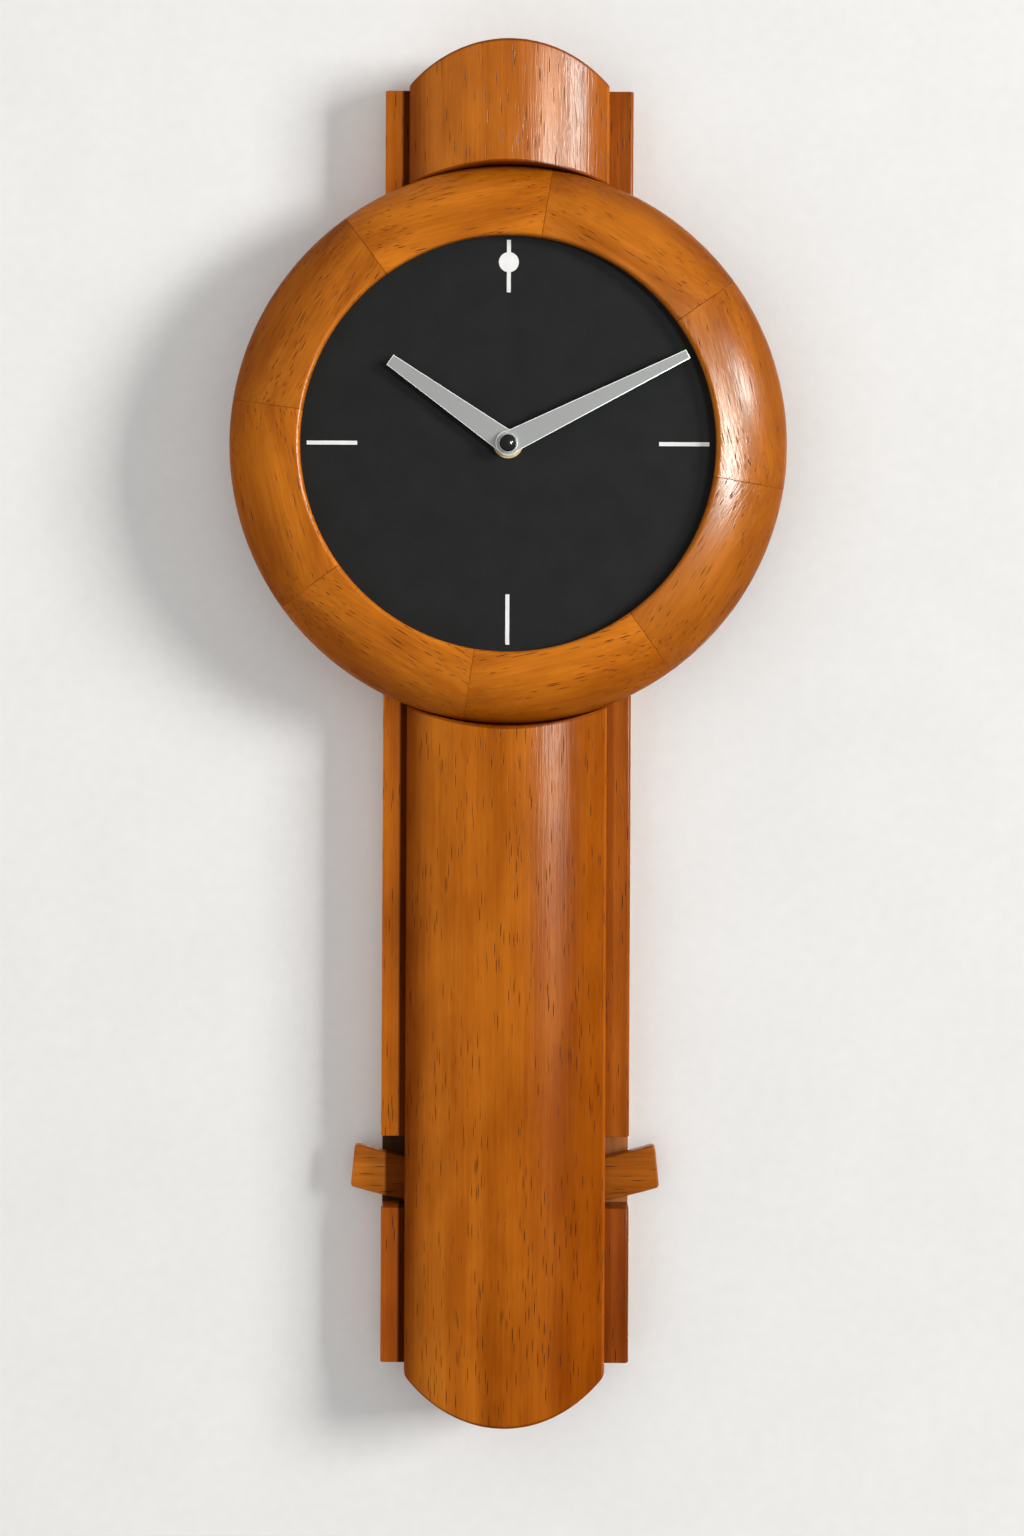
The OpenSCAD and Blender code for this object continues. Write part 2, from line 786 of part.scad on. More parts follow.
module cover_screws() {
    color(steel) stand() for (p = cover_screw_places) at(p)
        countersunk(screw_r, screw_head_r, screw_head_t, 0, cover_screw_len, 0);
}

module hanger_plate() {
    color(steel) stand() difference() {
        slab(0, hanger_t) hanger_plate_outline(0);
        at([0, hanger_y]) {
            shaft(hanger_hole_d / 2, -cut, hanger_t + cut);
            slab(-cut, hanger_t + cut) {
                translate([-hanger_slot_w / 2, 0]) square([hanger_slot_w, hanger_slot_len]);
                translate([0, hanger_slot_len]) circle(hanger_slot_w / 2);
            }
        }
        for (p = hanger_screw_places) at(p)
            translate([0, 0, -screw_play])
            cylinder(r1 = hanger_screw_head_r + screw_play, r2 = hanger_screw_r + screw_play,
                h = hanger_t + 2 * screw_play);
    }
}

module hanger_screws() {
    color(steel) stand() for (p = hanger_screw_places) at(p)
        countersunk(hanger_screw_r, hanger_screw_head_r, hanger_t, 0, hanger_screw_len, 0);
}

// Outline of the movement: the square main case and the narrower drive tower above it
module movement_outline(inset) {
    rounded_rect(movement_w - 2 * inset, movement_w - 2 * inset, corner_r - inset);
    translate([-tower_half + inset, 0]) square([2 * (tower_half - inset), tower_top - corner_r]);
    translate([-tower_half + corner_r, 0]) square([2 * (tower_half - corner_r), tower_top - inset]);
    for (sx = [-1, 1]) translate([sx * (tower_half - corner_r), tower_top - corner_r])
        circle(corner_r - inset);
}

module movement_case() {
    color(case_grey) stand() {
        difference() {
            union() {
                slab(inner_back, case_front) movement_outline(0);
                slab(case_back, inner_back) intersection() {
                    movement_outline(0);
                    translate([-half_w, -half_w]) square([movement_w, half_w + bay_top]);
                }
            }
            slab(inner_back - cut, inner_front) difference() {
                movement_outline(movement_wall);
                translate([-half_w, -half_w]) square([movement_w, half_w + bay_top + movement_wall]);
            }
            battery_bay();
            shaft(bushing_bore_r, inner_front - cut, case_front + cut);
            for (p = arbor_places) at(p)
                shaft(arbor_r + run_play, inner_front - cut, inner_front + pivot_depth);
            at([0, pivot_up]) shaft(pin_r + screw_play, inner_front - cut, inner_front + pivot_depth);
        }
        for (p = board_posts) at(p) shaft(board_post_r, circuit_back + circuit_t, inner_front + pivot_depth);
        at(stator_post) shaft(stator_post_r, stator_back + stator_t, inner_front + pivot_depth);
        at([0, lever_pad_y]) shaft(coil_seat_r, pendulum_coil_back, inner_front + pivot_depth);
    }
}

// Trough for the battery, open towards the wall
module battery_bay() {
    translate([-inner_half, battery_y, battery_z]) rotate([0, 90, 0])
        cylinder(r = bay_r, h = 2 * inner_half);
    translate([-inner_half, battery_y - bay_r, case_back - cut])
        cube([2 * inner_half, 2 * bay_r, battery_z - case_back + cut]);
}

module movement_back() {
    color(case_grey) stand() difference() {
        slab(case_back, inner_back) difference() {
            movement_outline(0);
            translate([-half_w - cut, -half_w - cut]) square([movement_w + 2 * cut, half_w + bay_top + cut]);
        }
        shaft(cannon_back_r + run_play, inner_back - pivot_depth, inner_back + cut);
        for (p = arbor_places) at(p) shaft(arbor_r + run_play, inner_back - pivot_depth, inner_back + cut);
        at(set_place) shaft(cannon_r + run_play, case_back - cut, inner_back + cut);
        at([0, pivot_up]) shaft(pin_r + screw_play, case_back - cut, inner_back + cut);
    }
}

module battery() {
    color(gold) stand() translate([-battery_len / 2, battery_y, battery_z]) rotate([0, 90, 0]) {
        cylinder(r = battery_d / 2, h = battery_len - nub_len);
        cylinder(r = nub_r, h = battery_len);
    }
}

// Contact plates at both ends of the bay, with the spring on the flat end's side
module battery_contacts() {
    end = inner_half - contact_play;
    color(steel) stand() translate([0, battery_y, battery_z]) {
        for (x = [-end, end - contact_t]) translate([x, -contact_w / 2, -contact_w / 2])
            cube([contact_t, contact_w, contact_w]);
        translate([contact_t - end, 0, 0]) rotate([0, 90, 0])
            cylinder(r1 = spring_r1, r2 = spring_r2, h = end - contact_t - battery_len / 2 - contact_play);
    }
}

module threaded_bushing() {
    color(brass) stand() difference() {
        shaft(bushing_d / 2, case_front, bushing_front);
        shaft(bushing_bore_r, case_front - cut, bushing_front + cut);
    }
}

module rubber_washer() {
    color(black) stand() difference() {
        shaft(gasket_r, case_front, dial_back);
        shaft(bushing_d / 2 + dial_hole_play, case_front - cut, dial_back + cut);
    }
}

module dial_washer() {
    color(brass) stand() difference() {
        shaft(washer_r, dial_front, dial_front + washer_t);
        shaft(bushing_d / 2 + dial_hole_play, dial_front - cut, nut_front);
    }
}

module bushing_nut() {
    color(brass) stand() difference() {
        translate([0, 0, dial_front + washer_t]) cylinder(r = nut_flats / sqrt(3), h = nut_t, $fn = 6);
        shaft(bushing_d / 2 + run_play, dial_front, nut_front + cut);
    }
}

module circuit_board() {
    color(board_green) stand() {
        slab(circuit_back, circuit_back + circuit_t)
            translate([board_x, board_foot]) square([board_w, board_h]);
        slab(circuit_back - chip_t, circuit_back)
            translate([board_x + (board_w - chip_w) / 2, chip_y]) square(chip_w);
    }
}

// Stator: the ring round the rotor, and the bar that carries the coil
module stator() {
    color(steel) stand() slab(stator_back, stator_back + stator_t) difference() {
        union() {
            translate(rotor_place) circle(stator_ring_r);
            translate([stator_end, stator_post[1] - stator_bar_w / 2])
                square([rotor_place[0] - stator_end, stator_bar_w]);
            translate([stator_post[0], stator_post[1]]) circle(stator_post_r);
        }
        translate(rotor_place) circle(rotor_magnet_r + stator_gap);
    }
}

module drive_coil() {
    from = stator_post[0] + stator_post_r + drive_coil_gap;
    to = rotor_place[0] - stator_ring_r - drive_coil_gap;
    color(copper) stand() translate([from, stator_post[1], stator_back + stator_t / 2]) rotate([0, 90, 0])
        difference() {
            cylinder(r = drive_coil_r, h = to - from);
            translate([0, 0, -cut]) cylinder(r = drive_coil_bore_r, h = to - from + 2 * cut);
        }
}

module pendulum_coil() {
    front = pendulum_coil_back + pendulum_coil_t;
    color(copper) stand() at([0, lever_pad_y]) difference() {
        shaft(pendulum_coil_r, pendulum_coil_back, front);
        shaft(coil_seat_r + screw_play, pendulum_coil_back - cut, front + cut);
    }
}

module pendulum_pin() {
    color(steel) stand() at([0, pivot_up]) {
        shaft(pin_r, hub_back - pin_end_play, inner_front + pivot_depth);
        shaft(pin_head_r, hub_back - pin_end_play - pin_head_t, hub_back - pin_end_play);
    }
}

// Half the angle that a tooth takes at a given radius, on an involute tooth
function involute(a) = tan(a) * 180 / PI - a;
function tooth_half_angle(teeth, mod, r) =
    let (base = mod * teeth / 2 * cos(pressure_angle))
    90 / teeth + involute(pressure_angle) - (r > base ? involute(acos(base / r)) : 0)
    - tooth_slack * mod / r * 180 / PI;
function gear_radii(teeth, mod) =
    teeth <= pinion_limit
    ? [mod * (teeth / 2 - dedendum), mod * teeth / 2 * cos(pressure_angle),
        mod * (teeth / 2 + pinion_flank), mod * (teeth / 2 + pinion_addendum)]
    : [mod * (teeth / 2 - dedendum), mod * (teeth / 2 + wheel_addendum)];
function gear_outline(teeth, mod) =
    let (radii = gear_radii(teeth, mod), last = len(radii) - 1)
    [for (i = [0 : teeth - 1])
        for (j = [0 : 2 * last + 1])
            let (up = j <= last, r = radii[up ? j : 2 * last + 1 - j],
                a = 360 / teeth * i + (up ? -1 : 1) * tooth_half_angle(teeth, mod, r))
            r * [cos(a), sin(a)]];

// Gear whose thickness is centred on its layer
module gear(teeth, mod, layer, thickness) {
    slab(layer - thickness / 2, layer + thickness / 2) polygon(gear_outline(teeth, mod));
}

module arbor() {
    shaft(arbor_r, arbor_back, arbor_front);
}

module cannon_pinion() {
    color(gear_white) stand() {
        shaft(cannon_back_r, arbor_back, motion_layer);
        gear(cannon_teeth, motion_module, motion_layer, cannon_pinion_t);
        shaft(cannon_r, motion_layer, minute_hand_back);
        shaft(stud_r, minute_hand_back, minute_hand_front + hand_nut_t);
    }
}

module centre_wheel() {
    color(gear_white) stand() difference() {
        union() {
            gear(centre_teeth, centre_module, centre_layer, wheel_t);
            shaft(centre_hub_r, centre_layer - centre_hub_back, centre_layer + centre_hub_front);
        }
        shaft(cannon_back_r + run_play,
            centre_layer - centre_hub_back - cut, centre_layer + centre_hub_front + cut);
    }
}

module minute_wheel() {
    color(gear_white) stand() at(minute_place) {
        rotate(minute_wheel_turn) {
            gear(minute_teeth, motion_module, motion_layer, wheel_t);
            gear(minute_pinion_teeth, motion_module, hour_layer - minute_pinion_drop, minute_pinion_t);
            shaft(minute_hub_r, motion_layer, hour_layer - minute_hub_below_hour);
        }
        arbor();
    }
}

module hour_wheel() {
    color(gear_white) stand() difference() {
        union() {
            rotate(hour_wheel_turn) gear(hour_teeth, motion_module, hour_layer, wheel_t);
            shaft(hour_tube_r, hour_layer - wheel_t / 2, hour_tube_front);
        }
        shaft(cannon_r + run_play, hour_layer - cut, hour_tube_front + cut);
    }
}

module set_knob() {
    knob_front = case_back - knob_gap;
    knob_back = knob_front - knob_t;
    color(black) stand() at(set_place) {
        rotate(set_turn) gear(set_teeth, motion_module, motion_layer, pinion_t);
        shaft(cannon_r, knob_front, motion_layer);
        shaft(arbor_r, motion_layer, inner_front - set_arbor_play);
        difference() {
            shaft(knob_d / 2, knob_back, knob_front);
            for (i = [1 : knob_grooves]) rotate([0, 0, i * 360 / knob_grooves])
                translate([knob_d / 2 + knob_groove_out, 0, 0])
                shaft(knob_groove_r, knob_back - cut, knob_front - knob_groove_stop);
        }
    }
}

module rotor() {
    color(steel) stand() at(rotor_place) {
        rotate(rotor_turn) gear(pinion_teeth, rotor_module, rotor_layer, pinion_t);
        shaft(rotor_magnet_r, stator_back - rotor_magnet_over, stator_back + stator_t + rotor_magnet_over);
        arbor();
    }
}

module intermediate_wheel() {
    color(gear_white) stand() at(intermediate_place) {
        rotate(intermediate_turn) {
            gear(intermediate_teeth, rotor_module, rotor_layer, wheel_t);
            gear(pinion_teeth, train_module, centre_layer, pinion_t);
        }
        arbor();
    }
}

module seconds_wheel() {
    color(gear_white) stand() at(seconds_place) {
        rotate(seconds_turn) {
            gear(seconds_teeth, train_module, centre_layer, wheel_t);
            gear(pinion_teeth, train_module, third_layer, pinion_t);
        }
        arbor();
    }
}

module third_wheel() {
    color(gear_white) stand() at(third_place) {
        rotate(third_turn) {
            gear(third_teeth, train_module, third_layer, wheel_t);
            gear(pinion_teeth, centre_module, centre_layer, pinion_t);
        }
        arbor();
    }
}

// Flat tapered hand with a square tip, pointing along a turn clockwise from twelve
module hand_outline(length, root_w, tip_w, turn) {
    rotate(-turn) polygon([[-root_w / 2, 0], [root_w / 2, 0], [tip_w / 2, length], [-tip_w / 2, length]]);
    circle(hub_d / 2);
}

module hour_hand() {
    color(silver) stand() difference() {
        union() {
            slab(hour_hand_back, hour_hand_back + hand_t)
                hand_outline(hour_len, hour_root_w, hour_tip_w, hour_turn);
            shaft(hour_tube_r + hour_collar_wall, hour_hand_back - hour_collar_t, hour_hand_back);
        }
        shaft(hour_tube_r, hour_hand_back - cut, hour_hand_back + hand_t + cut);
    }
}

module minute_hand() {
    color(silver) stand() difference() {
        slab(minute_hand_back, minute_hand_front)
            hand_outline(minute_len, minute_root_w, minute_tip_w, minute_turn);
        shaft(stud_r, minute_hand_back - cut, minute_hand_front + cut);
    }
}

module hand_nut() {
    color(steel) stand() difference() {
        translate([0, 0, minute_hand_front])
            cylinder(r1 = hand_nut_r, r2 = hand_nut_r - hand_nut_taper, h = hand_nut_t);
        shaft(stud_r, minute_hand_front - cut, minute_hand_front + hand_nut_t + cut);
    }
}

// Domed cap over the end of the arbor
module centre_cap() {
    dome_r = (pow(cap_r, 2) + pow(cap_h, 2)) / (2 * cap_h);
    base = minute_hand_front + hand_nut_t;
    color(black) stand() intersection() {
        translate([0, 0, base + cap_h - dome_r]) sphere(dome_r);
        shaft(cap_r + cut, base, base + cap_h + cut);
    }
}

// Moulded arm that swings behind the movement and carries the rod
module pendulum_lever() {
    color(black) stand() difference() {
        union() {
            slab(lever_back, lever_back + lever_t) {
                translate([0, pivot_up]) circle(lever_hub_r);
                translate([0, lever_pad_y]) circle(lever_pad_r);
                translate([0, lever_foot_y]) circle(lever_hub_r);
                polygon([[-lever_arm_w / 2, pivot_up], [lever_arm_w / 2, pivot_up],
                    [lever_arm_w / 2, lever_foot_y], [-lever_arm_w / 2, lever_foot_y]]);
            }
            at([0, pivot_up]) shaft(hub_r, hub_back, hub_front);
            at([0, lever_foot_y]) {
                shaft(stud_collar_r, rod_front + stud_play, lever_back);
                shaft(stud_post_r, rod_back - stud_head_t, lever_back);
                shaft(stud_head_r, rod_back - 2 * stud_head_t, rod_back - stud_play);
            }
            slab(lever_back - lever_rib_t, lever_back)
                translate([-lever_rib_w / 2, lever_foot_y]) square([lever_rib_w, pivot_up - lever_foot_y]);
        }
        at([0, pivot_up]) shaft(pin_r + run_play, hub_back - cut, hub_front + cut);
    }
}

module lever_magnet() {
    color(steel) stand() at([0, lever_pad_y]) shaft(magnet_r, lever_back + lever_t, case_back - magnet_gap);
}

module bar_screw_heads() {
    for (s = [-1, 1]) translate([0, -bar_drop + s * bar_screw_pitch / 2, 0]) children();
}

module pendulum_rod() {
    color(brass) stand() slab(rod_back, rod_front) difference() {
        union() {
            translate([0, rod_top_y]) circle(rod_eye_r);
            translate([-rod_w / 2, rod_foot_y]) square([rod_w, rod_top_y - rod_foot_y]);
        }
        translate([0, rod_top_y]) circle(stud_post_r + screw_play);
        for (s = [-1, 1]) translate([0, -bar_drop + s * bar_screw_pitch / 2])
            circle(bar_screw_r + screw_play);
    }
}

// Curved wooden bob
module crossbar() {
    color(wood) stand() difference() {
        slab(board_t + bar_gap, rod_back) translate([0, bar_bend_r - bar_drop]) bar_outline();
        bar_screw_heads() shaft(bar_screw_r + screw_play, rod_back - bar_screw_len, rod_back + cut);
    }
}

// Outline of the crossbar about the centre of its bend: a band between two arcs with slanted ends
module bar_outline() {
    foot = bar_corner(bar_foot_r - bar_corner_r);
    roof = bar_corner(bar_roof_r + bar_corner_r);
    foot_turn = atan2(foot[0], -foot[1]);
    roof_turn = atan2(roof[0], -roof[1]);
    polygon(concat(
        arc([0, 0], bar_foot_r, 270 - foot_turn, 270 + foot_turn, face_steps),
        arc(foot, bar_corner_r, foot_turn - 90, bar_end_slant, edge_steps),
        arc(roof, bar_corner_r, bar_end_slant, 90 + roof_turn, edge_steps),
        arc([0, 0], bar_roof_r, 270 + roof_turn, 270 - roof_turn, face_steps),
        arc([-roof[0], roof[1]], bar_corner_r, 90 - roof_turn, 180 - bar_end_slant, edge_steps),
        arc([-foot[0], foot[1]], bar_corner_r, 180 - bar_end_slant, 270 - foot_turn, edge_steps)));
}

module crossbar_screws() {
    color(steel) stand() bar_screw_heads() {
        shaft(bar_screw_r, rod_back - bar_screw_len + screw_play, rod_front);
        shaft(bar_screw_head_r, rod_front, rod_front + bar_screw_head_t);
    }
}

backboard();
left_upper_rail();
right_upper_rail();
left_lower_rail();
right_lower_rail();
top_block();
bottom_block();
cover_cleats();
top_cover();
lower_cover();
bezel_segment(1);  // bezel_segment_1
bezel_segment(2);  // bezel_segment_2
bezel_segment(3);  // bezel_segment_3
bezel_segment(4);  // bezel_segment_4
bezel_segment(5);  // bezel_segment_5
bezel_segment(6);  // bezel_segment_6
bezel_segment(7);  // bezel_segment_7
bezel_segment(8);  // bezel_segment_8
dial();
hour_markers();
dial_screws();
ring_screws();
cover_screws();
hanger_plate();
hanger_screws();
movement_case();
movement_back();
battery();
battery_contacts();
threaded_bushing();
rubber_washer();
dial_washer();
bushing_nut();
circuit_board();
stator();
drive_coil();
pendulum_coil();
pendulum_pin();
cannon_pinion();
minute_hand();
hand_nut();
centre_cap();
hour_wheel();
hour_hand();
minute_wheel();
set_knob();
rotor();
intermediate_wheel();
seconds_wheel();
third_wheel();
centre_wheel();
pendulum_lever();
lever_magnet();
pendulum_rod();
crossbar();
crossbar_screws();
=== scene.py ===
# A pendulum wall clock: a turned, segmented wooden bezel round a plain black dial, on two side rails
# with half-round covers between them, and a curved wooden crossbar that swings in slots near the foot.
import json
import math

import bmesh
import bpy
import numpy as np
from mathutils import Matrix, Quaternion, Vector


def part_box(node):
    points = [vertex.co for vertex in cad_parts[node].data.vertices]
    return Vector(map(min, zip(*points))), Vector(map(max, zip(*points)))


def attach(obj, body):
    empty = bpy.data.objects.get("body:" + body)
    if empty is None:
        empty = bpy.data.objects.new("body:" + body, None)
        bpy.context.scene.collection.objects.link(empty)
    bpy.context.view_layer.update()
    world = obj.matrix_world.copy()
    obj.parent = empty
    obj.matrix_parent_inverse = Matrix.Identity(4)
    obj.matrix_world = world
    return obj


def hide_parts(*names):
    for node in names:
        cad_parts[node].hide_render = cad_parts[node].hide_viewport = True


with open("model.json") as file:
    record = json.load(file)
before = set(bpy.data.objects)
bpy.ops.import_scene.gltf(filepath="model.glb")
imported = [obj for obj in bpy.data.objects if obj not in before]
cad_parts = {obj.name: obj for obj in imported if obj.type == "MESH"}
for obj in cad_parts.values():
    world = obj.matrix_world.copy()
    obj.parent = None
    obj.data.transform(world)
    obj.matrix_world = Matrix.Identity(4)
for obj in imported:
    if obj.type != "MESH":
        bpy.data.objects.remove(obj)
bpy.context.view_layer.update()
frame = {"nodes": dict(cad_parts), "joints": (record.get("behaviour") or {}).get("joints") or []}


# Camera: square to the wall at 1.25 m, as the photograph was taken, with the clock leaning a
# quarter of a degree to the right. The lens axis meets the wall above the middle of the frame, so
# the sensor is shifted and the clock's sides stay upright.
LONG_SIDE = 36
PHOTO_H = 1536
FOCAL_PX = 2680
AXIS_ABOVE_MIDDLE_PX = 208
CAMERA_PLACE = (0.002, -1.25, -0.186)
CLOCK_LEAN = 0.26
camera_data = bpy.data.cameras.new("camera")
camera_data.sensor_width = LONG_SIDE
camera_data.lens = FOCAL_PX / PHOTO_H * LONG_SIDE
camera_data.shift_y = -AXIS_ABOVE_MIDDLE_PX / PHOTO_H
camera = bpy.data.objects.new("camera", camera_data)
camera.location = CAMERA_PLACE
camera.rotation_euler = (math.pi / 2, -math.radians(CLOCK_LEAN), 0)
bpy.context.scene.collection.objects.link(camera)
bpy.context.scene.camera = camera
bpy.context.scene.view_settings.view_transform = "Standard"


# Wall: smooth off-white plaster that the clock hangs on, with faint trowel marks. It is a backdrop and
# no part of the clock. Seen from behind it lets the light through, so that the clock's back shows,
# and it stands a hair behind that back, so that the two faces don't fall into one plane.
MM = 0.001
WALL_HALF = 3.0
WALL_Y = 0.2 * MM
WALL_DARK = (0.86, 0.858, 0.85)
WALL_LIGHT = (0.895, 0.893, 0.886)
# Painted shade: the paint's colour is multiplied by this towards the bottom, where the light falls off.
WALL_LOW_SHADE = (0.965, 0.965, 0.965)
TROWEL_WIDE = 50 * MM
TROWEL_FINE = 6 * MM
TROWEL_DEPTH = 0.4 * MM
NOISE_SPAN = (0.35, 0.65)


def shader(tree, kind, inputs=(), **settings):
    """Adds a shader node, with its settings, and feeds its sockets with numbers or with other nodes'
    outputs."""
    added = tree.nodes.new("ShaderNode" + kind)
    for name, value in settings.items():
        setattr(added, name, value)
    for socket, value in dict(inputs).items():
        if isinstance(value, bpy.types.NodeSocket):
            tree.links.new(value, added.inputs[socket])
        else:
            added.inputs[socket].default_value = value
    return added


def new_finish(name, **skin):
    """Makes a material with one Principled shader and returns it, its node tree and the shader."""
    finish = bpy.data.materials.new(name)
    finish.use_nodes = True
    tree = finish.node_tree
    tree.nodes.clear()
    surface = shader(tree, "BsdfPrincipled", {k.replace("_", " "): v for k, v in skin.items()})
    shader(tree, "OutputMaterial", {"Surface": surface.outputs[0]})
    return finish, tree, surface


def object_place(tree):
    """The point's place on the piece, in metres."""
    return shader(tree, "TexCoord").outputs["Object"]


def axes(tree, place):
    """The three coordinates of a place or a direction."""
    return shader(tree, "SeparateXYZ", {0: place}).outputs


def fitted(tree, place, size):
    """The place, scaled so that a pattern of size 1 takes the given size, one number or one for each
    direction."""
    scale = tuple(1 / np.broadcast_to(size, 3))
    return shader(tree, "Mapping", {"Vector": place, "Scale": scale}).outputs[0]


def noise(tree, place, size, detail=2.0, **more):
    """Value of a noise whose features are about as large as size."""
    sockets = {"Vector": fitted(tree, place, size), "Scale": 1.0, "Detail": detail, **more}
    return shader(tree, "TexNoise", sockets).outputs[0]


def worked(tree, operation, *values):
    """One step of arithmetic on one or two values."""
    return shader(tree, "Math", dict(enumerate(values)), operation=operation).outputs[0]


def ranged(tree, value, low, high, to_low=0.0, to_high=1.0, smooth=False):
    """Carries a value from one range to another, clamped at both ends."""
    kind = "SMOOTHSTEP" if smooth else "LINEAR"
    span = {"Value": value, "From Min": low, "From Max": high, "To Min": to_low, "To Max": to_high}
    return shader(tree, "MapRange", span, interpolation_type=kind).outputs[0]


def sums(tree, *terms):
    """Adds up values, each one times its weight."""
    total = None
    for value, weight in terms:
        part = worked(tree, "MULTIPLY", value, weight)
        total = part if total is None else worked(tree, "ADD", total, part)
    return total


def tinted(tree, amount, first, second, mode="MIX"):
    """Mixes two colours by an amount."""
    sockets = {0: amount}
    for socket, colour in ((6, first), (7, second)):
        sockets[socket] = colour if isinstance(colour, bpy.types.NodeSocket) else (*colour, 1)
    return shader(tree, "Mix", sockets, data_type="RGBA", blend_type=mode).outputs[2]


def relief(tree, surface, height, depth, strength=1.0):
    """Feeds a height, from 0 to 1, to the shader as a relief of the given depth in metres."""
    bump = shader(tree, "Bump", {"Height": height, "Distance": depth, "Strength": strength})
    tree.links.new(bump.outputs[0], surface.inputs["Normal"])


def plaster():
    """Off-white wall paint with faint trowel marks, painted shade that darkens it a little below, and
    clear from behind.
    """
    finish, tree, surface = new_finish("wall_paint", Roughness=0.95, Specular_IOR_Level=0.02)
    place = object_place(tree)
    wide, fine = noise(tree, place, TROWEL_WIDE, 4), noise(tree, place, TROWEL_FINE, 3)
    trowel = sums(tree, (wide, 0.5), (fine, 0.5))
    tone = tinted(tree, ranged(tree, trowel, *NOISE_SPAN), WALL_DARK, WALL_LIGHT)
    # Painted shade: the wall is darker towards the bottom.
    below = ranged(tree, axes(tree, place)["Z"], -100 * MM, -500 * MM)
    tree.links.new(tinted(tree, below, tone, WALL_LOW_SHADE, "MULTIPLY"), surface.inputs["Base Color"])
    relief(tree, surface, trowel, TROWEL_DEPTH, 0.5)
    clear = shader(tree, "BsdfTransparent")
    behind = shader(tree, "NewGeometry").outputs["Backfacing"]
    both = shader(tree, "MixShader", {0: behind, 1: surface.outputs[0], 2: clear.outputs[0]})
    output = next(n for n in tree.nodes if n.bl_idname == "ShaderNodeOutputMaterial")
    tree.links.new(both.outputs[0], output.inputs["Surface"])
    return finish


wall_mesh = bpy.data.meshes.new("wall")
corners = [(x * WALL_HALF, WALL_Y, z * WALL_HALF) for x, z in ((-1, -1), (1, -1), (1, 1), (-1, 1))]
wall_mesh.from_pydata(corners, [], [(0, 1, 2, 3)])
wall_mesh.materials.append(plaster())
wall = bpy.data.objects.new("wall", wall_mesh)
wall.visible_shadow = False
bpy.context.scene.collection.objects.link(wall)


# Light: a large soft lamp on the right, low and far to the side, throws the long shadow to the left,
# and two small ones give the lacquer its sheen. The room fills in from the front and the left. A
# plain lamp behind lights the clock's back and reaches nothing that faces the room.
KEY_FROM = np.array((0.868, -0.462, 0.18))
KEY_REACH = 9
KEY_SIZE = (2.06, 3.0)
KEY_POWER = 800
KEY_COLOUR = (1, 0.99, 0.972)
# Name, azimuth and height in degrees, width and length, power, and lean in degrees.
SHEENS = (
    ("sheen_lamp", 37, 1, (0.24, 0.85), 182, 38),
    ("upper_sheen_lamp", 57, 14, (0.12, 0.30), 64, 0),
)
SHEEN_REACH = 2.4
SHEEN_COLOUR = (0.87, 1.0, 0.95)
BACK_POWER = 2.6
BACK_SOFTNESS = 25
ROOM_COLOUR = (1, 0.99, 0.975)
ROOM_BRIGHTEST = (-0.68, -0.72, 0.12)
ROOM_BRIGHT = 0.82
ROOM_DIM = 0.05
ROOM_PALE = (0.86, 0.86, 0.85)
ROOM_MIRRORED = 0.3


def lamp(name, kind, power, place=(0, 0, 0), aim=(0, 1, 0), colour=(1, 1, 1), lean=0):
    """Makes a lamp at a place, shining along a direction and leaning about it by some degrees."""
    data = bpy.data.lights.new(name, kind)
    data.energy = power
    data.color = colour
    made = bpy.data.objects.new(name, data)
    made.location = place
    made.rotation_mode = "QUATERNION"
    leaning = Quaternion((0, 0, 1), math.radians(lean))
    made.rotation_quaternion = Vector(aim).to_track_quat("-Z", "Y") @ leaning
    bpy.context.scene.collection.objects.link(made)
    return made


dial_axis = np.array(next(j["pos_m"] for j in frame["joints"] if j["name"] == "minute_hand_spin"))
key = lamp("key_lamp", "AREA", KEY_POWER, dial_axis + KEY_REACH * KEY_FROM, -KEY_FROM, KEY_COLOUR)
key.data.shape = "RECTANGLE"
key.data.size, key.data.size_y = KEY_SIZE
key.visible_glossy = False
for name, azimuth, height, size, power, lean in SHEENS:
    side, up = math.radians(azimuth), math.radians(height)
    source = np.array((math.sin(side) * math.cos(up), -math.cos(side) * math.cos(up), math.sin(up)))
    sheen = lamp(name, "AREA", power, dial_axis + SHEEN_REACH * source, -source, SHEEN_COLOUR, lean)
    sheen.data.shape = "RECTANGLE"
    sheen.data.size, sheen.data.size_y = size
    sheen.visible_diffuse = False
back = lamp("back_lamp", "SUN", BACK_POWER, aim=(0, -1, 0))
back.data.angle = math.radians(BACK_SOFTNESS)
back.data.cycles.max_bounces = 0

world = bpy.data.worlds.new("room")
bpy.context.scene.world = world
world.use_nodes = True
sky = world.node_tree
sky.nodes.clear()
heading = shader(sky, "TexCoord").outputs["Generated"]
dot = shader(sky, "VectorMath", {0: heading, 1: ROOM_BRIGHTEST}, operation="DOT_PRODUCT")
fill = ranged(sky, dot.outputs["Value"], -0.5, 1.0, ROOM_DIM, ROOM_BRIGHT)
away = axes(sky, heading)["Y"]
fill_lit = worked(sky, "MULTIPLY", fill, worked(sky, "LESS_THAN", away, 0.0))
rays = shader(sky, "LightPath").outputs
straight = worked(sky, "MAXIMUM", rays["Is Camera Ray"], rays["Is Transmission Ray"])
seen = worked(sky, "MAXIMUM", straight, rays["Is Glossy Ray"])
paleness = worked(sky, "MAXIMUM", straight, ranged(sky, away, -0.1, 0.1, ROOM_MIRRORED, 1.0))
soft = shader(sky, "Background", {"Color": (*ROOM_COLOUR, 1), "Strength": fill_lit})
pale = shader(sky, "Background", {"Color": (*ROOM_PALE, 1), "Strength": paleness})
room = shader(sky, "MixShader", {0: seen, 1: soft.outputs[0], 2: pale.outputs[0]})
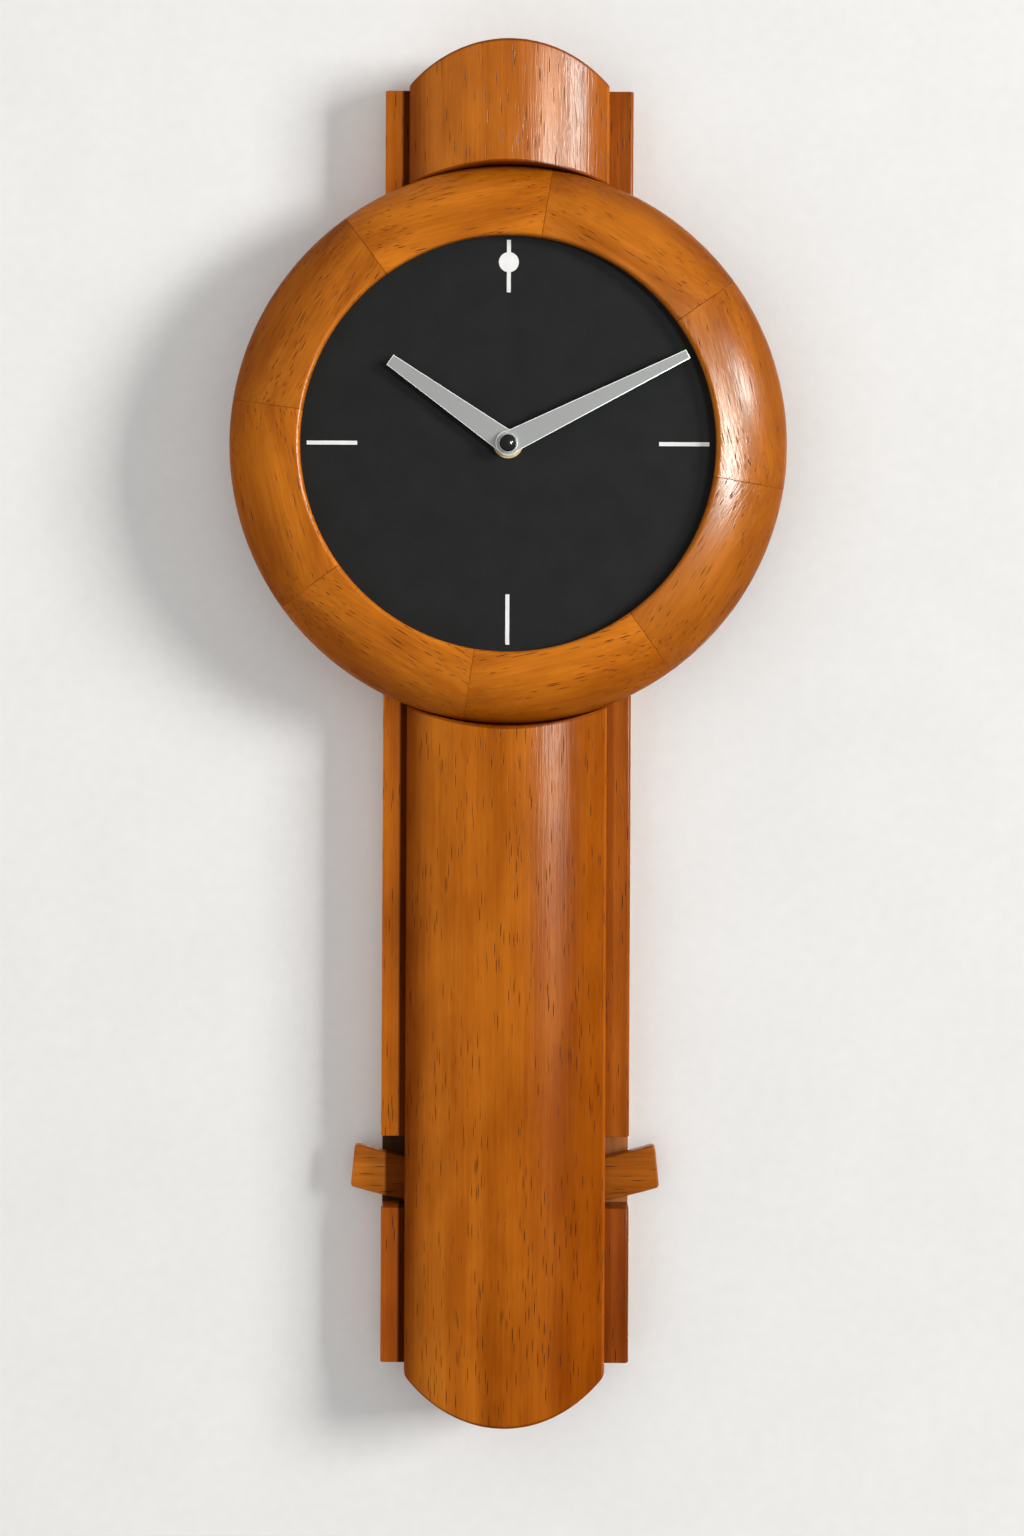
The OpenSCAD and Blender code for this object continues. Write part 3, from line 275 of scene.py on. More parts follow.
shader(sky, "OutputWorld", {"Surface": room.outputs[0]})


# Backboard: 5 mm plywood behind the rails, stained brown on the face that shows in the crossbar's
# slots and raw on the back, where the rails' and covers' screws come in. The wall screw's head goes
# into the pocket at the top, and the movement is reached through the window.
BAND = (12 * MM, 12 * MM, 400 * MM)
CLOUD = (18 * MM, 18 * MM, 45 * MM)
STREAK = (1.5 * MM, 1.5 * MM, 60 * MM)
FIBRE = (0.45 * MM, 0.45 * MM, 9 * MM)
PORE_SPACING = (0.75 * MM, 0.75 * MM, 15 * MM)
PORE_PATCH = (9 * MM, 9 * MM, 60 * MM)
PORE_TONE = 0.10
GRAIN_DEPTH = 0.2 * MM
# Brown multiplied in where a toning says: mostly painted shade, and partly the dark glue lines and end
# grain.
BROWN_STAIN_AND_SHADE = (0.40, 0.31, 0.20)
PLY = 1.25 * MM
PLY_GLUE = (0.5, 0.42, 0.36)
# The front's stain, with painted shade on the left, where the slot lies in shadow, and painted light on
# the right.
BOARD_STAIN_IN_SHADE = (0.14, 0.08, 0.035)
BOARD_STAIN_IN_LIGHT = (1.0, 0.52, 0.20)


def wood(name, dark, light, turn=0.0, shift=(0, 0, 0), pores=0.95, stain_and_shade=None, stain_and_shade_colour=BROWN_STAIN_AND_SHADE,
         gloss=0.12, rough=0.28):
    """Straight-grained hardwood. The grain lies along Z once the place is turned about Y. Wide bands,
    clouds, fine streaks and fibres are noise stretched along the grain; the pores are stretched cells,
    short and dark. An optional toning says where the colour is multiplied by a darker colour; besides
    glue lines and end grain, what it darkens or lightens is painted shade and painted light. There,
    and in the pores, the lacquer is dull."""
    finish, tree, surface = new_finish(name, Roughness=rough)
    whole = object_place(tree)
    turned = {"Vector": whole, "Location": shift, "Rotation": (0, turn, 0)}
    placed = shader(tree, "Mapping", turned).outputs[0]
    bands = noise(tree, placed, BAND, 3, Distortion=0.4)
    streaks = noise(tree, placed, STREAK, 2)
    fibres = noise(tree, placed, FIBRE, 1)
    clouds = noise(tree, placed, CLOUD, 3)
    tone = sums(tree, (bands, 0.3), (streaks, 0.2), (fibres, 0.1), (clouds, 0.4))
    colour = tinted(tree, ranged(tree, tone, 0.39, 0.61), dark, light)
    cells = shader(tree, "TexVoronoi", {"Vector": fitted(tree, placed, PORE_SPACING), "Scale": 1.0})
    near = ranged(tree, cells.outputs["Distance"], 0.15, 0.32, 1, 0, smooth=True)
    patch = ranged(tree, noise(tree, placed, PORE_PATCH, 1), *NOISE_SPAN, 0.8, 0.2)
    chance = shader(tree, "SeparateColor", {0: cells.outputs["Color"]}).outputs[0]
    chosen = ranged(tree, worked(tree, "SUBTRACT", chance, patch), 0.0, 0.25)
    pore = worked(tree, "MULTIPLY", near, chosen)
    pore_colour = tuple(PORE_TONE * c for c in dark)
    colour = tinted(tree, worked(tree, "MULTIPLY", pore, pores), colour, pore_colour)
    dull = pore
    # The toning is painted shade and light, except at glue lines and end grain, where it is partly the
    # wood's own tone.
    if stain_and_shade:
        stained_and_shaded = stain_and_shade(tree, whole)
        colour = tinted(tree, stained_and_shaded, colour, stain_and_shade_colour, "MULTIPLY")
        dull = worked(tree, "MAXIMUM", pore, stained_and_shaded)
    tree.links.new(colour, surface.inputs["Base Color"])
    tree.links.new(ranged(tree, dull, 0, 1, gloss, 0.2 * gloss), surface.inputs["Specular IOR Level"])
    worn = sums(tree, (pore, 0.35), (fibres, 0.16), (streaks, 0.1))
    roughness = ranged(tree, worn, 0.13, 0.48, rough - 0.04, rough + 0.24)
    tree.links.new(roughness, surface.inputs["Roughness"])
    relief(tree, surface, sums(tree, (pore, -0.4), (fibres, 0.3), (streaks, 0.5)), GRAIN_DEPTH)
    return finish


def dress(finish, *names):
    """Gives a finish to the CAD nodes that keep their shape."""
    for name in names:
        frame["nodes"][name].material_slots[0].material = finish


def plywood():
    """Raw plywood with a coarse grain, its plies as stripes on the edges, and a stain on the front, with
    painted shade on its left and painted light on its right.
    """
    finish = wood("board_wood", (0.30, 0.17, 0.075), (0.50, 0.31, 0.15), shift=(0.3, 0.1, 0), pores=0.4,
                  gloss=0.1, rough=0.6)
    tree = finish.node_tree
    surface = next(n for n in tree.nodes if n.bl_idname == "ShaderNodeBsdfPrincipled")
    raw = surface.inputs["Base Color"].links[0].from_socket
    facing = axes(tree, shader(tree, "NewGeometry").outputs["True Normal"])["Y"]
    x, depth, _ = axes(tree, object_place(tree))
    # Painted shade and light: the front's stain runs from dark on the left to bright on the right.
    stain_and_shade_colour = tinted(tree, ranged(tree, x, -30 * MM, 30 * MM), BOARD_STAIN_IN_SHADE, BOARD_STAIN_IN_LIGHT)
    stained_and_shaded = tinted(tree, ranged(tree, facing, -0.6, -0.9), raw, stain_and_shade_colour, "MULTIPLY")
    stripe = worked(tree, "SINE", worked(tree, "MULTIPLY", depth, math.pi / PLY))
    edge = ranged(tree, worked(tree, "ABSOLUTE", facing), 0.5, 0.3)
    dark_ply = worked(tree, "MULTIPLY", ranged(tree, stripe, -0.2, 0.2), edge)
    tree.links.new(tinted(tree, dark_ply, stained_and_shaded, PLY_GLUE, "MULTIPLY"), surface.inputs["Base Color"])
    return finish


dress(plywood(), "backboard")


# Side rails: four straight hardwood strips, glued and screwed to the backboard, with a soft round on
# the outer front edge. The gap between the upper and lower ones is the crossbar's slot. Their colour
# carries painted light and shade: lighter on the left and above, darker to the right and below, with
# the cover's shadow painted in the corner beside it, and the right rails darker towards their outer
# edge.
RAIL_EDGE_R = 1.6 * MM
RAIL_SOFT_R = 0.5 * MM
# Dark and light of each strip, copies of one wood painted lit and shaded: lightest on the upper left,
# darkest on the lower right.
RAIL_LIT_AND_SHADED_TONES = {
    ("left", "upper"): ((0.49, 0.110, 0.002), (0.78, 0.198, 0.006)),
    ("left", "lower"): ((0.38, 0.072, 0.001), (0.58, 0.130, 0.004)),
    ("right", "upper"): ((0.29, 0.061, 0.002), (0.46, 0.111, 0.005)),
    ("right", "lower"): ((0.21, 0.038, 0.001), (0.33, 0.070, 0.003)),
}
# How much of the cover's shadow is painted in the inner corner, how much the outer edge is darkened, and
# their colour.
RAIL_CORNER_SHADE_AND_EDGE = {"left": (1.0, 0.0, (0.12, 0.08, 0.05)), "right": (0.3, 0.4, BROWN_STAIN_AND_SHADE)}
DOUBLES = 1e-7


def arc(centre, radius, start, stop, steps):
    """Points of a circular arc: the centre plus the radius times cosine and sine of evenly spaced
    degrees."""
    turns = np.radians(np.linspace(start, stop, steps + 1))
    return np.asarray(centre) + radius * np.column_stack((np.cos(turns), np.sin(turns)))


def inset(loop, distance):
    """Draws a closed loop in: each point moves along the mean of its two edges' inner normals, by the
    distance over the cosine of half the turn, so that every edge moves in by the same distance."""
    ahead = np.roll(loop, -1, 0) - loop
    area = np.sum(loop[:, 0] * np.roll(loop[:, 1], -1) - loop[:, 1] * np.roll(loop[:, 0], -1))
    ahead /= np.linalg.norm(ahead, axis=1, keepdims=True)
    inner = np.sign(area) * np.column_stack((-ahead[:, 1], ahead[:, 0]))
    mean = inner + np.roll(inner, 1, 0)
    mean /= np.linalg.norm(mean, axis=1, keepdims=True)
    cosine = np.clip(np.sum(mean * inner, axis=1, keepdims=True), 0.5, 1)
    return loop + distance * mean / cosine


def eased(loop, soft, steps=4):
    """The loops of a softened end, from its face inwards, each with its distance from the face: along a
    quarter circle the loop is drawn in by the radius times one minus the cosine, and stands in by the
    radius times one minus the sine."""
    turns = np.linspace(math.pi / 2, 0, steps + 1)
    return [(inset(loop, soft * (1 - math.cos(t))), soft * (1 - math.sin(t))) for t in turns]


def soft_stack(loop, start, stop, soft):
    """A loop carried from start to stop and eased at both ends: pairs of a loop and its station."""
    inward = math.copysign(1, stop - start)
    end = eased(loop, soft)
    return [(l, start + inward * d) for l, d in end] + [(l, stop - inward * d) for l, d in end[::-1]]


def closed_piece(name, rings, node, body, finish, crease=40, strip=False):
    """A closed skin over a stack of rings, an array of (ring, point, xyz): quads join neighbouring
    rings, and each end is filled by one flat polygon, or by a strip of quads from the first half to
    the second. It is smooth below the crease angle, and stands for a CAD node on its body."""
    rings = np.asarray(rings, float)
    count, around = rings.shape[:2]
    number = np.arange(count * around).reshape(count, around)
    beside = np.roll(number, -1, 1)
    faces = np.stack((number[:-1], beside[:-1], beside[1:], number[1:]), -1).reshape(-1, 4).tolist()
    for ring, step in ((number[0], -1), (number[-1], 1)):
        if strip:
            front, rear = ring[: around // 2], ring[around // 2 :][::-1]
            faces += np.stack((front[:-1], front[1:], rear[1:], rear[:-1]), -1)[:, ::step].tolist()
        else:
            faces.append(ring[::step].tolist())
    mesh = bpy.data.meshes.new(name)
    mesh.from_pydata(rings.reshape(-1, 3).tolist(), [], faces)
    shell = bmesh.new()
    shell.from_mesh(mesh)
    bmesh.ops.remove_doubles(shell, verts=shell.verts, dist=DOUBLES)
    bmesh.ops.recalc_face_normals(shell, faces=shell.faces)
    shell.to_mesh(mesh)
    shell.free()
    mesh.shade_smooth()
    mesh.set_sharp_from_angle(angle=math.radians(crease))
    mesh.materials.append(finish)
    piece = bpy.data.objects.new(name, mesh)
    bpy.context.scene.collection.objects.link(piece)
    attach(piece, body)
    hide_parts(node)
    return piece


def rail_rings(inner, outer, back, front, foot, head):
    """A rail's section, a rectangle whose outer front corner is an arc, carried up from foot to head."""
    side = math.copysign(1, outer - inner)
    width = abs(outer - inner)
    corner = arc((width - RAIL_EDGE_R, front - RAIL_EDGE_R), RAIL_EDGE_R, 0, 90, 8)
    inner_corner = arc((RAIL_SOFT_R, front - RAIL_SOFT_R), RAIL_SOFT_R, 90, 180, 4)
    loop = np.vstack(([[0, back], [width, back]], corner, inner_corner))
    stack = soft_stack(loop, foot, head, RAIL_SOFT_R)
    return [np.column_stack((inner + side * l[:, 0], -l[:, 1], np.full(len(l), z))) for l, z in stack]


def corner_painted_shade(corner, edge):
    """Painted shadow of the cover in the corner beside it, and some darkening at the outer edge."""
    def stained_and_shaded(tree, place):
        out = worked(tree, "ABSOLUTE", axes(tree, place)["X"])
        corner_shadow = ranged(tree, out, 49.8 * MM, 48.3 * MM, 0, corner, smooth=True)
        return sums(tree, (corner_shadow, 1), (ranged(tree, out, 50 * MM, 54.5 * MM), edge))

    return stained_and_shaded


for side_name, side in (("left", -1), ("right", 1)):
    corner_shade, edge_darkening, rail_shade_colour = RAIL_CORNER_SHADE_AND_EDGE[side_name]
    for level in ("upper", "lower"):
        node = f"{side_name}_{level}_rail"
        low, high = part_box(node)
        inner, outer = sorted((low.x, high.x), key=abs)
        rings = rail_rings(inner, outer, -high.y, -low.y, low.z, high.z)
        rail_wood = wood(node + "_wood", *RAIL_LIT_AND_SHADED_TONES[side_name, level],
                         shift=(0.2 * side, 0.4, 0.7 * side),
                         stain_and_shade=corner_painted_shade(corner_shade, edge_darkening), stain_and_shade_colour=rail_shade_colour)
        closed_piece(node + "_strip", rings, node, "case", rail_wood)


# Blocks and cleats: bare hardwood between the rails, glued to them and to the backboard. They tie the
# rails together and take the screws of the covers.
inner_wood = wood("inner_wood", (0.22, 0.10, 0.04), (0.40, 0.22, 0.10), shift=(0.7, 0, 0.5), gloss=0.1,
                  rough=0.6)
dress(inner_wood, "top_block", "bottom_block", "cover_cleats")


# Hanger plate: zinc-plated sheet steel with a stamped keyhole, which drops over the wall screw. It is
# let into the back of the backboard and held by two countersunk screws of the same finish.
BRUSHED = (0.3 * MM, 0.3 * MM, 4 * MM)
WORN_PATCH = 5 * MM
WORN_TONE = 0.8
SCRATCH_DEPTH = 0.006 * MM


def metal(name, colour, rough, brushed=BRUSHED, shine=1.0):
    """Plated or turned metal: fine scratches from a stretched noise, and a patchy roughness."""
    finish, tree, surface = new_finish(name, Metallic=shine)
    place = object_place(tree)
    scratch = noise(tree, place, brushed, 3)
    patch = noise(tree, place, WORN_PATCH, 2)
    tone = sums(tree, (scratch, 0.5), (patch, 0.5))
    dull = tuple(c * WORN_TONE for c in colour)
    worn = tinted(tree, ranged(tree, tone, *NOISE_SPAN), dull, colour)
    tree.links.new(worn, surface.inputs["Base Color"])
    tree.links.new(ranged(tree, tone, 0.3, 0.7, rough - 0.07, rough + 0.07), surface.inputs["Roughness"])
    relief(tree, surface, scratch, SCRATCH_DEPTH, 0.6)
    return finish


screw_steel = metal("screw_steel", (0.62, 0.61, 0.58), 0.34)
dress(metal("hanger_steel", (0.6, 0.59, 0.55), 0.36), "hanger_plate")
dress(screw_steel, "hanger_screws")


# Bezel: eight hardwood segments, glued end to end, turned to one round and waxed and lacquered. Each
# one has its own tone, partly its wood's and partly painted shade, and its grain along its own chord,
# and painted shade darkens it towards the outside. Four screws hold the ring to the rails.
SEGMENTS = 8
SEAM_TURN = 9
SEGMENT_STATIONS = 37
FACE_R = 56.08 * MM
FACE_CENTRE = np.array((84.36, -4.34)) * MM
EDGE_R = 8 * MM
LIP_R = 1.6 * MM
OPENING_R = 93.5 * MM
REBATE_R = 97.8 * MM
BACK_BEVEL = 0.5 * MM
SEAM_GROOVE = 0.15 * MM
GLUE_LINE = 0.2 * MM
GLUE_STAIN = 0.5
OUTER_SHADE_R = 127.5 * MM
BEZEL_GLOSS = 0.14
# Tone of each segment's wood, partly its own and partly painted shade, the radius from which painted
# shade darkens it towards the outside, and how much.
RING_TONES_AND_SHADE = (
    (0.84, 0.110, 0.6), (0.84, 0.110, 0.5), (0.80, 0.110, 0.5), (1.10, 0.107, 0.8),
    (1.18, 0.106, 0.85), (1.22, 0.101, 0.9), (1.01, 0.108, 0.9), (1.08, 0.111, 0.4),
)
ring_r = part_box("bezel_segment_2")[1].x
ring_back = -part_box("bezel_segment_2")[1].y
dial_front = -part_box("dial")[0].y


def round_tangent(x, radius):
    """Centre, at the given radius from the axis, of a small arc that touches the face's arc from
    inside."""
    rise = math.sqrt((FACE_R - radius) ** 2 - (x - FACE_CENTRE[0]) ** 2)
    return np.array((x, FACE_CENTRE[1] + rise))


def bezel_loop():
    """The turned section as radius and depth: back, side, rounded edge, face, lip, and the dial's
    rebate."""
    edge = round_tangent(ring_r - EDGE_R, EDGE_R)
    lip = round_tangent(OPENING_R + LIP_R, LIP_R)
    edge_turn, lip_turn = (math.degrees(math.atan2(*(c - FACE_CENTRE)[::-1])) for c in (edge, lip))
    side = np.column_stack((np.full(4, ring_r), np.linspace(ring_back + BACK_BEVEL, edge[1], 5)[:-1]))
    return np.vstack((
        [[REBATE_R, ring_back], [ring_r - BACK_BEVEL, ring_back]],
        side,
        arc(edge, EDGE_R, 0, edge_turn, 14)[:-1],
        arc(FACE_CENTRE, FACE_R, edge_turn, lip_turn, 40)[:-1],
        arc(lip, LIP_R, lip_turn, 180, 10),
        [[OPENING_R, dial_front], [REBATE_R, dial_front]],
    ))


def mark(piece, name, values):
    """Writes a value for each point of a piece into an attribute that its material reads."""
    piece.data.attributes.new(name, "FLOAT", "POINT").data.foreach_set("value", values)


def marked(tree, name):
    """The value that an attribute holds at the point."""
    return shader(tree, "Attribute", attribute_name=name).outputs["Fac"]


def outer_shade_and_glue(start, depth):
    """Painted shade towards the outside of the ring, by the distance from the dial's axis, and the dark
    glue lines."""
    def stained_and_shaded(tree, place):
        about_axis = {"Vector": place, "Location": (0, 0, -dial_axis[2]), "Scale": (1, 0, 1)}
        centred = shader(tree, "Mapping", about_axis, vector_type="POINT").outputs[0]
        out = shader(tree, "VectorMath", {0: centred}, operation="LENGTH").outputs["Value"]
        outside = ranged(tree, out, start, OUTER_SHADE_R, 0, depth, smooth=True)
        glue = worked(tree, "MULTIPLY", marked(tree, "glue"), GLUE_STAIN)
        return worked(tree, "MAXIMUM", outside, glue)

    return stained_and_shaded


bezel_section = bezel_loop()
groove = SEAM_GROOVE / ring_r
glued = (SEAM_GROOVE + GLUE_LINE) / ring_r
for k, (tone, shade_start, shade_depth) in enumerate(RING_TONES_AND_SHADE):
    first = math.radians(SEAM_TURN + k * 360 / SEGMENTS)
    last = first + 2 * math.pi / SEGMENTS
    between = np.linspace(first + glued, last - glued, SEGMENT_STATIONS)
    turns = [first, first + groove, *between, last - groove, last]
    end = inset(bezel_section, SEAM_GROOVE)
    loops = [end, *[bezel_section] * (len(turns) - 2), end]
    rings = [
        np.column_stack((l[:, 0] * math.sin(t), -l[:, 1], dial_axis[2] + l[:, 0] * math.cos(t)))
        for l, t in zip(loops, turns)
    ]
    dark, light = (0.39 * tone, 0.096 * tone, 0.003), (0.65 * tone, 0.192 * tone, 0.010)
    bezel_wood = wood(f"bezel_wood_{k + 1}", dark, light, turn=math.pi / 2 - (first + last) / 2,
                      shift=(0.05 * k, 0.13 * k, 0.37 * k), gloss=BEZEL_GLOSS,
                      stain_and_shade=outer_shade_and_glue(shade_start, shade_depth))
    node = f"bezel_segment_{k + 1}"
    segment = closed_piece(f"bezel_{k + 1}", rings, node, "case", bezel_wood)
    at_seam = np.zeros(len(turns))
    at_seam[[0, 1, -2, -1]] = 1
    mark(segment, "glue", np.repeat(at_seam, len(bezel_section)))
dress(screw_steel, "ring_screws")


# Dial: a thin board, sprayed matt black, in the bezel's rebate, with four painted white marks and a
# small disc at twelve. Four small screws hold it from behind.
PAINT_CLOUD = 15 * MM
PAINT_DARK, PAINT_LIGHT = 0.84, 1.16
PAINT_MAX = 0.97


def moulded(name, colour, rough=0.5, grain=0.12 * MM, depth=0.01 * MM, gloss=0.4):
    """Moulded or painted skin: an even colour with slight clouds, and a fine spark-eroded texture."""
    finish, tree, surface = new_finish(name, Roughness=rough, Specular_IOR_Level=gloss)
    place = object_place(tree)
    texture = noise(tree, place, grain, 2)
    clouds = noise(tree, place, PAINT_CLOUD, 3)
    tone = sums(tree, (texture, 0.4), (clouds, 0.6))
    lower = tuple(c * PAINT_DARK for c in colour)
    upper = tuple(min(PAINT_MAX, c * PAINT_LIGHT) for c in colour)
    clouded = tinted(tree, ranged(tree, tone, *NOISE_SPAN), lower, upper)
    tree.links.new(clouded, surface.inputs["Base Color"])
    relief(tree, surface, texture, depth, 0.5)
    return finish


dress(moulded("dial_black", (0.0145, 0.0145, 0.0145), 0.7, 0.8 * MM, 0.03 * MM, 0.05), "dial")
dress(moulded("mark_white", (0.9, 0.9, 0.9), 0.6, gloss=0.1), "hour_markers")
dress(screw_steel, "dial_screws")


# Movement: a black moulded case behind the dial with a battery at its foot. Its threaded bushing comes
# through the dial and is held by a brass washer and nut. The electronics and wheels are inside.
FINE_GRAIN = (0.1 * MM, 0.1 * MM, 0.1 * MM)
dress(moulded("movement_plastic", (0.03, 0.03, 0.032)), "movement_case", "movement_back")
dress(moulded("washer_rubber", (0.025, 0.025, 0.025), 0.8, gloss=0.2), "rubber_washer")
dress(moulded("circuit_green", (0.03, 0.16, 0.07), 0.4), "circuit_board")
dress(metal("battery_wrap", (0.32, 0.32, 0.34), 0.35), "battery")
dress(metal("contact_steel", (0.7, 0.68, 0.64), 0.25), "battery_contacts")
dress(metal("fitting_brass", (0.80, 0.60, 0.30), 0.3, shine=0.6), "threaded_bushing", "dial_washer",
      "bushing_nut")
dress(metal("core_steel", (0.5, 0.5, 0.5), 0.4), "stator", "pendulum_pin")
dress(metal("coil_copper", (0.72, 0.32, 0.14), 0.3, FINE_GRAIN), "drive_coil", "pendulum_coil")
dress(metal("magnet_steel", (0.62, 0.62, 0.62), 0.2), "rotor", "lever_magnet")
dress(moulded("gear_plastic", (0.72, 0.70, 0.62), 0.45), "cannon_pinion", "hour_wheel", "minute_wheel",
      "intermediate_wheel", "seconds_wheel", "third_wheel", "centre_wheel")
dress(moulded("knob_black", (0.035, 0.035, 0.035)), "set_knob")


# Hands: stamped sheet with a satin silver lacquer, whose sheared edges are left bare and painted
# bright as a highlight. A plated nut holds the minute hand, and a glossy black cap closes the end of
# the arbor.
HUB_R = 5.6 * MM
HAND_THICK = 0.5 * MM
SHEARED = 0.3 * MM
SHEARED_DEPTH = 0.1 * MM
SATIN_GRAIN = 0.25 * MM
SATIN_DARK = (0.34, 0.34, 0.34)
SATIN_LIGHT = (0.385, 0.385, 0.385)
# Bare sheared metal, painted brighter as a highlight along the edges.
SHEARED_HIGHLIGHT = (0.88, 0.88, 0.88)


def satin_silver():
    """Satin lacquer over fine brushing, with bare metal and a painted highlight where the sheared edge
    attribute says so.
    """
    skin = {"Metallic": 0.1, "Roughness": 0.36, "Specular_IOR_Level": 0.2}
    finish, tree, surface = new_finish("hand_silver", **skin)
    brushed = noise(tree, object_place(tree), SATIN_GRAIN, 3)
    satin = tinted(tree, ranged(tree, brushed, 0.3, 0.7), SATIN_DARK, SATIN_LIGHT)
    edge_highlight = tinted(tree, marked(tree, "sheared"), satin, SHEARED_HIGHLIGHT)
    tree.links.new(edge_highlight, surface.inputs["Base Color"])
    relief(tree, surface, brushed, 0.01 * MM, 0.4)
    return finish


def hand_loop(length, root, tip, turn):
    """Outline of a hand: the hub's circle where it stands outside the blade, and the tapered blade with
    a square tip. The hub ends where the blade's edge, from its root, leaves the circle."""
    slope = math.atan2((root - tip) / 2, length)
    meet = math.degrees(math.asin((root / 2 * math.cos(slope)) / HUB_R)) - math.degrees(slope)
    hub = arc((0, 0), HUB_R, 90 + meet, 450 - meet, 48)
    loop = np.vstack((hub, [[tip / 2, length], [-tip / 2, length]]))
    c, s = math.cos(math.radians(turn)), math.sin(math.radians(turn))
    return np.column_stack((loop[:, 0] * c + loop[:, 1] * s, loop[:, 1] * c - loop[:, 0] * s))


def front_rings(stack, height):
    """Loops drawn in x and z, each one set at its depth before the wall and raised by a height."""
    return [np.column_stack((l[:, 0], np.full(len(l), -d), height + l[:, 1])) for l, d in stack]


silver = satin_silver()
for name, body, reach, width, tip, turn in (
    ("hour_hand", "hour_arbor", 64.8 * MM, 10.8 * MM, 5.4 * MM, 305),
    ("minute_hand", "minute_arbor", 90 * MM, 10.4 * MM, 4.2 * MM, 63.4),
):
    front = -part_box(name)[0].y
    outline = hand_loop(reach, width, tip, turn)
    stack = [
        (outline, front - HAND_THICK),
        (outline, front - SHEARED_DEPTH),
        (inset(outline, SHEARED), front),
        (inset(outline, SHEARED * 1.15), front),
    ]
    rings = front_rings(stack, dial_axis[2])
    hand = closed_piece(name + "_blade", rings, name, body, silver, crease=30)
    mark(hand, "sheared", np.repeat([1.0, 1.0, 1.0, 0.0], len(outline)))
dress(metal("nut_silver", (0.8, 0.8, 0.8), 0.25, shine=0.6), "hand_nut")
dress(moulded("cap_black", (0.012, 0.012, 0.012), 0.16, depth=0.001 * MM, gloss=0.5), "centre_cap")


# Covers: half-round hardwood boards across the rails, coped to the bezel's round side, with an
# arched outer end. Their colour carries painted shade, darker to the right, to the foot and along
# the edges, and a painted highlight on the right-hand edge; the darker end grain is partly its own
# tone and partly painted shade. They are held by screws through the backboard.
COVER_EDGE_T = 2.9 * MM
COVER_EDGE_R = 5 * MM
COVER_SOFT_R = 0.7 * MM
COVER_BEVEL = 0.3 * MM
COVER_ARCH = 18.4 * MM
COVER_BAYS = 16
COPE_GAP = 0.5 * MM
LOWER_CORNER_R = 4 * MM


def cover_loop(half, back, front):
    """A cover's section: one arc from edge to edge, smaller arcs at the two edges, and the flat back
    with the same widths in the opposite order."""
    rise = front - back - COVER_EDGE_T
    radius = (half**2 + rise**2) / (2 * rise)
    middle = np.array((0, front - radius))
    edge_x = half - COVER_EDGE_R
    edge = np.array((edge_x, middle[1] + math.sqrt((radius - COVER_EDGE_R) ** 2 - edge_x**2)))
    turn = math.degrees(math.atan2(*(edge - middle)[::-1]))
    face = np.vstack((
        [[half, back + COVER_BEVEL]],
        arc(edge, COVER_EDGE_R, 0, turn, 10)[:-1],
        arc(middle, radius, turn, 180 - turn, 72),
        arc(edge * (-1, 1), COVER_EDGE_R, 180 - turn, 180, 10)[1:],
        [[-half, back + COVER_BEVEL]],
    ))
    across = np.clip(face[::-1, 0], -half + COVER_BEVEL, half - COVER_BEVEL)
    apart = np.linspace(-1e-3, 1e-3, len(across)) * MM
    return np.vstack((face, np.column_stack((across + apart, np.full(len(across), back)))))


def cover_rings(section, foot_at, head_at):
    """A section carried between two curved ends, each one a height that depends on x alone, and eased
    at both of them. A plain ring beside each end keeps the end grain's tone and painted shade off the
    face."""
    end = eased(section, COVER_SOFT_R)
    stations = [(loop, 0, inside) for loop, inside in end] + [(section, 0, 2 * COVER_SOFT_R)]
    stations += [(section, share, 0) for share in np.linspace(0, 1, COVER_BAYS + 1)[1:-1]]
    stations += [(section, 1, -2 * COVER_SOFT_R)] + [(loop, 1, -inside) for loop, inside in end[::-1]]
    rings = []
    for loop, share, offset in stations:
        x = loop[:, 0]
        z = (1 - share) * foot_at(x) + share * head_at(x) + offset
        rings.append(np.column_stack((x, -loop[:, 1], z)))
    return rings


def cover_stain_and_painted_light(middle, foot):
    """Painted shade and light, with the end grain's own tone: palest in a band left of the middle,
    deeper to the right and to the foot, and deepest along the two long edges, but lighter again on the
    right-hand corner as a painted highlight. The darker end grain is partly painted shade."""
    def stained_and_shaded(tree, place):
        x, _, z = axes(tree, place)
        body = ranged(tree, x, -18 * MM, -6 * MM, smooth=True)
        low = worked(tree, "MULTIPLY", body, ranged(tree, z, -350 * MM, -550 * MM))
        # Every term below is painted shade, but the right-hand corner's, a painted highlight, and the
        # end grain's, partly its own tone.
        return sums(
            tree,
            (body, middle),
            (low, foot),
            (ranged(tree, x, -33 * MM, -45.5 * MM, smooth=True), 1),
            (ranged(tree, x, 14 * MM, 34 * MM, smooth=True), 0.4),
            (ranged(tree, x, 44.2 * MM, 45.5 * MM, smooth=True), -0.35),
            (marked(tree, "end_grain"), 0.9),
        )

    return stained_and_shaded


def coped(sign):
    """The end against the bezel: an arc about the dial's axis, a gap outside the ring."""
    return lambda x: dial_axis[2] + sign * np.sqrt((ring_r + COPE_GAP) ** 2 - x**2)


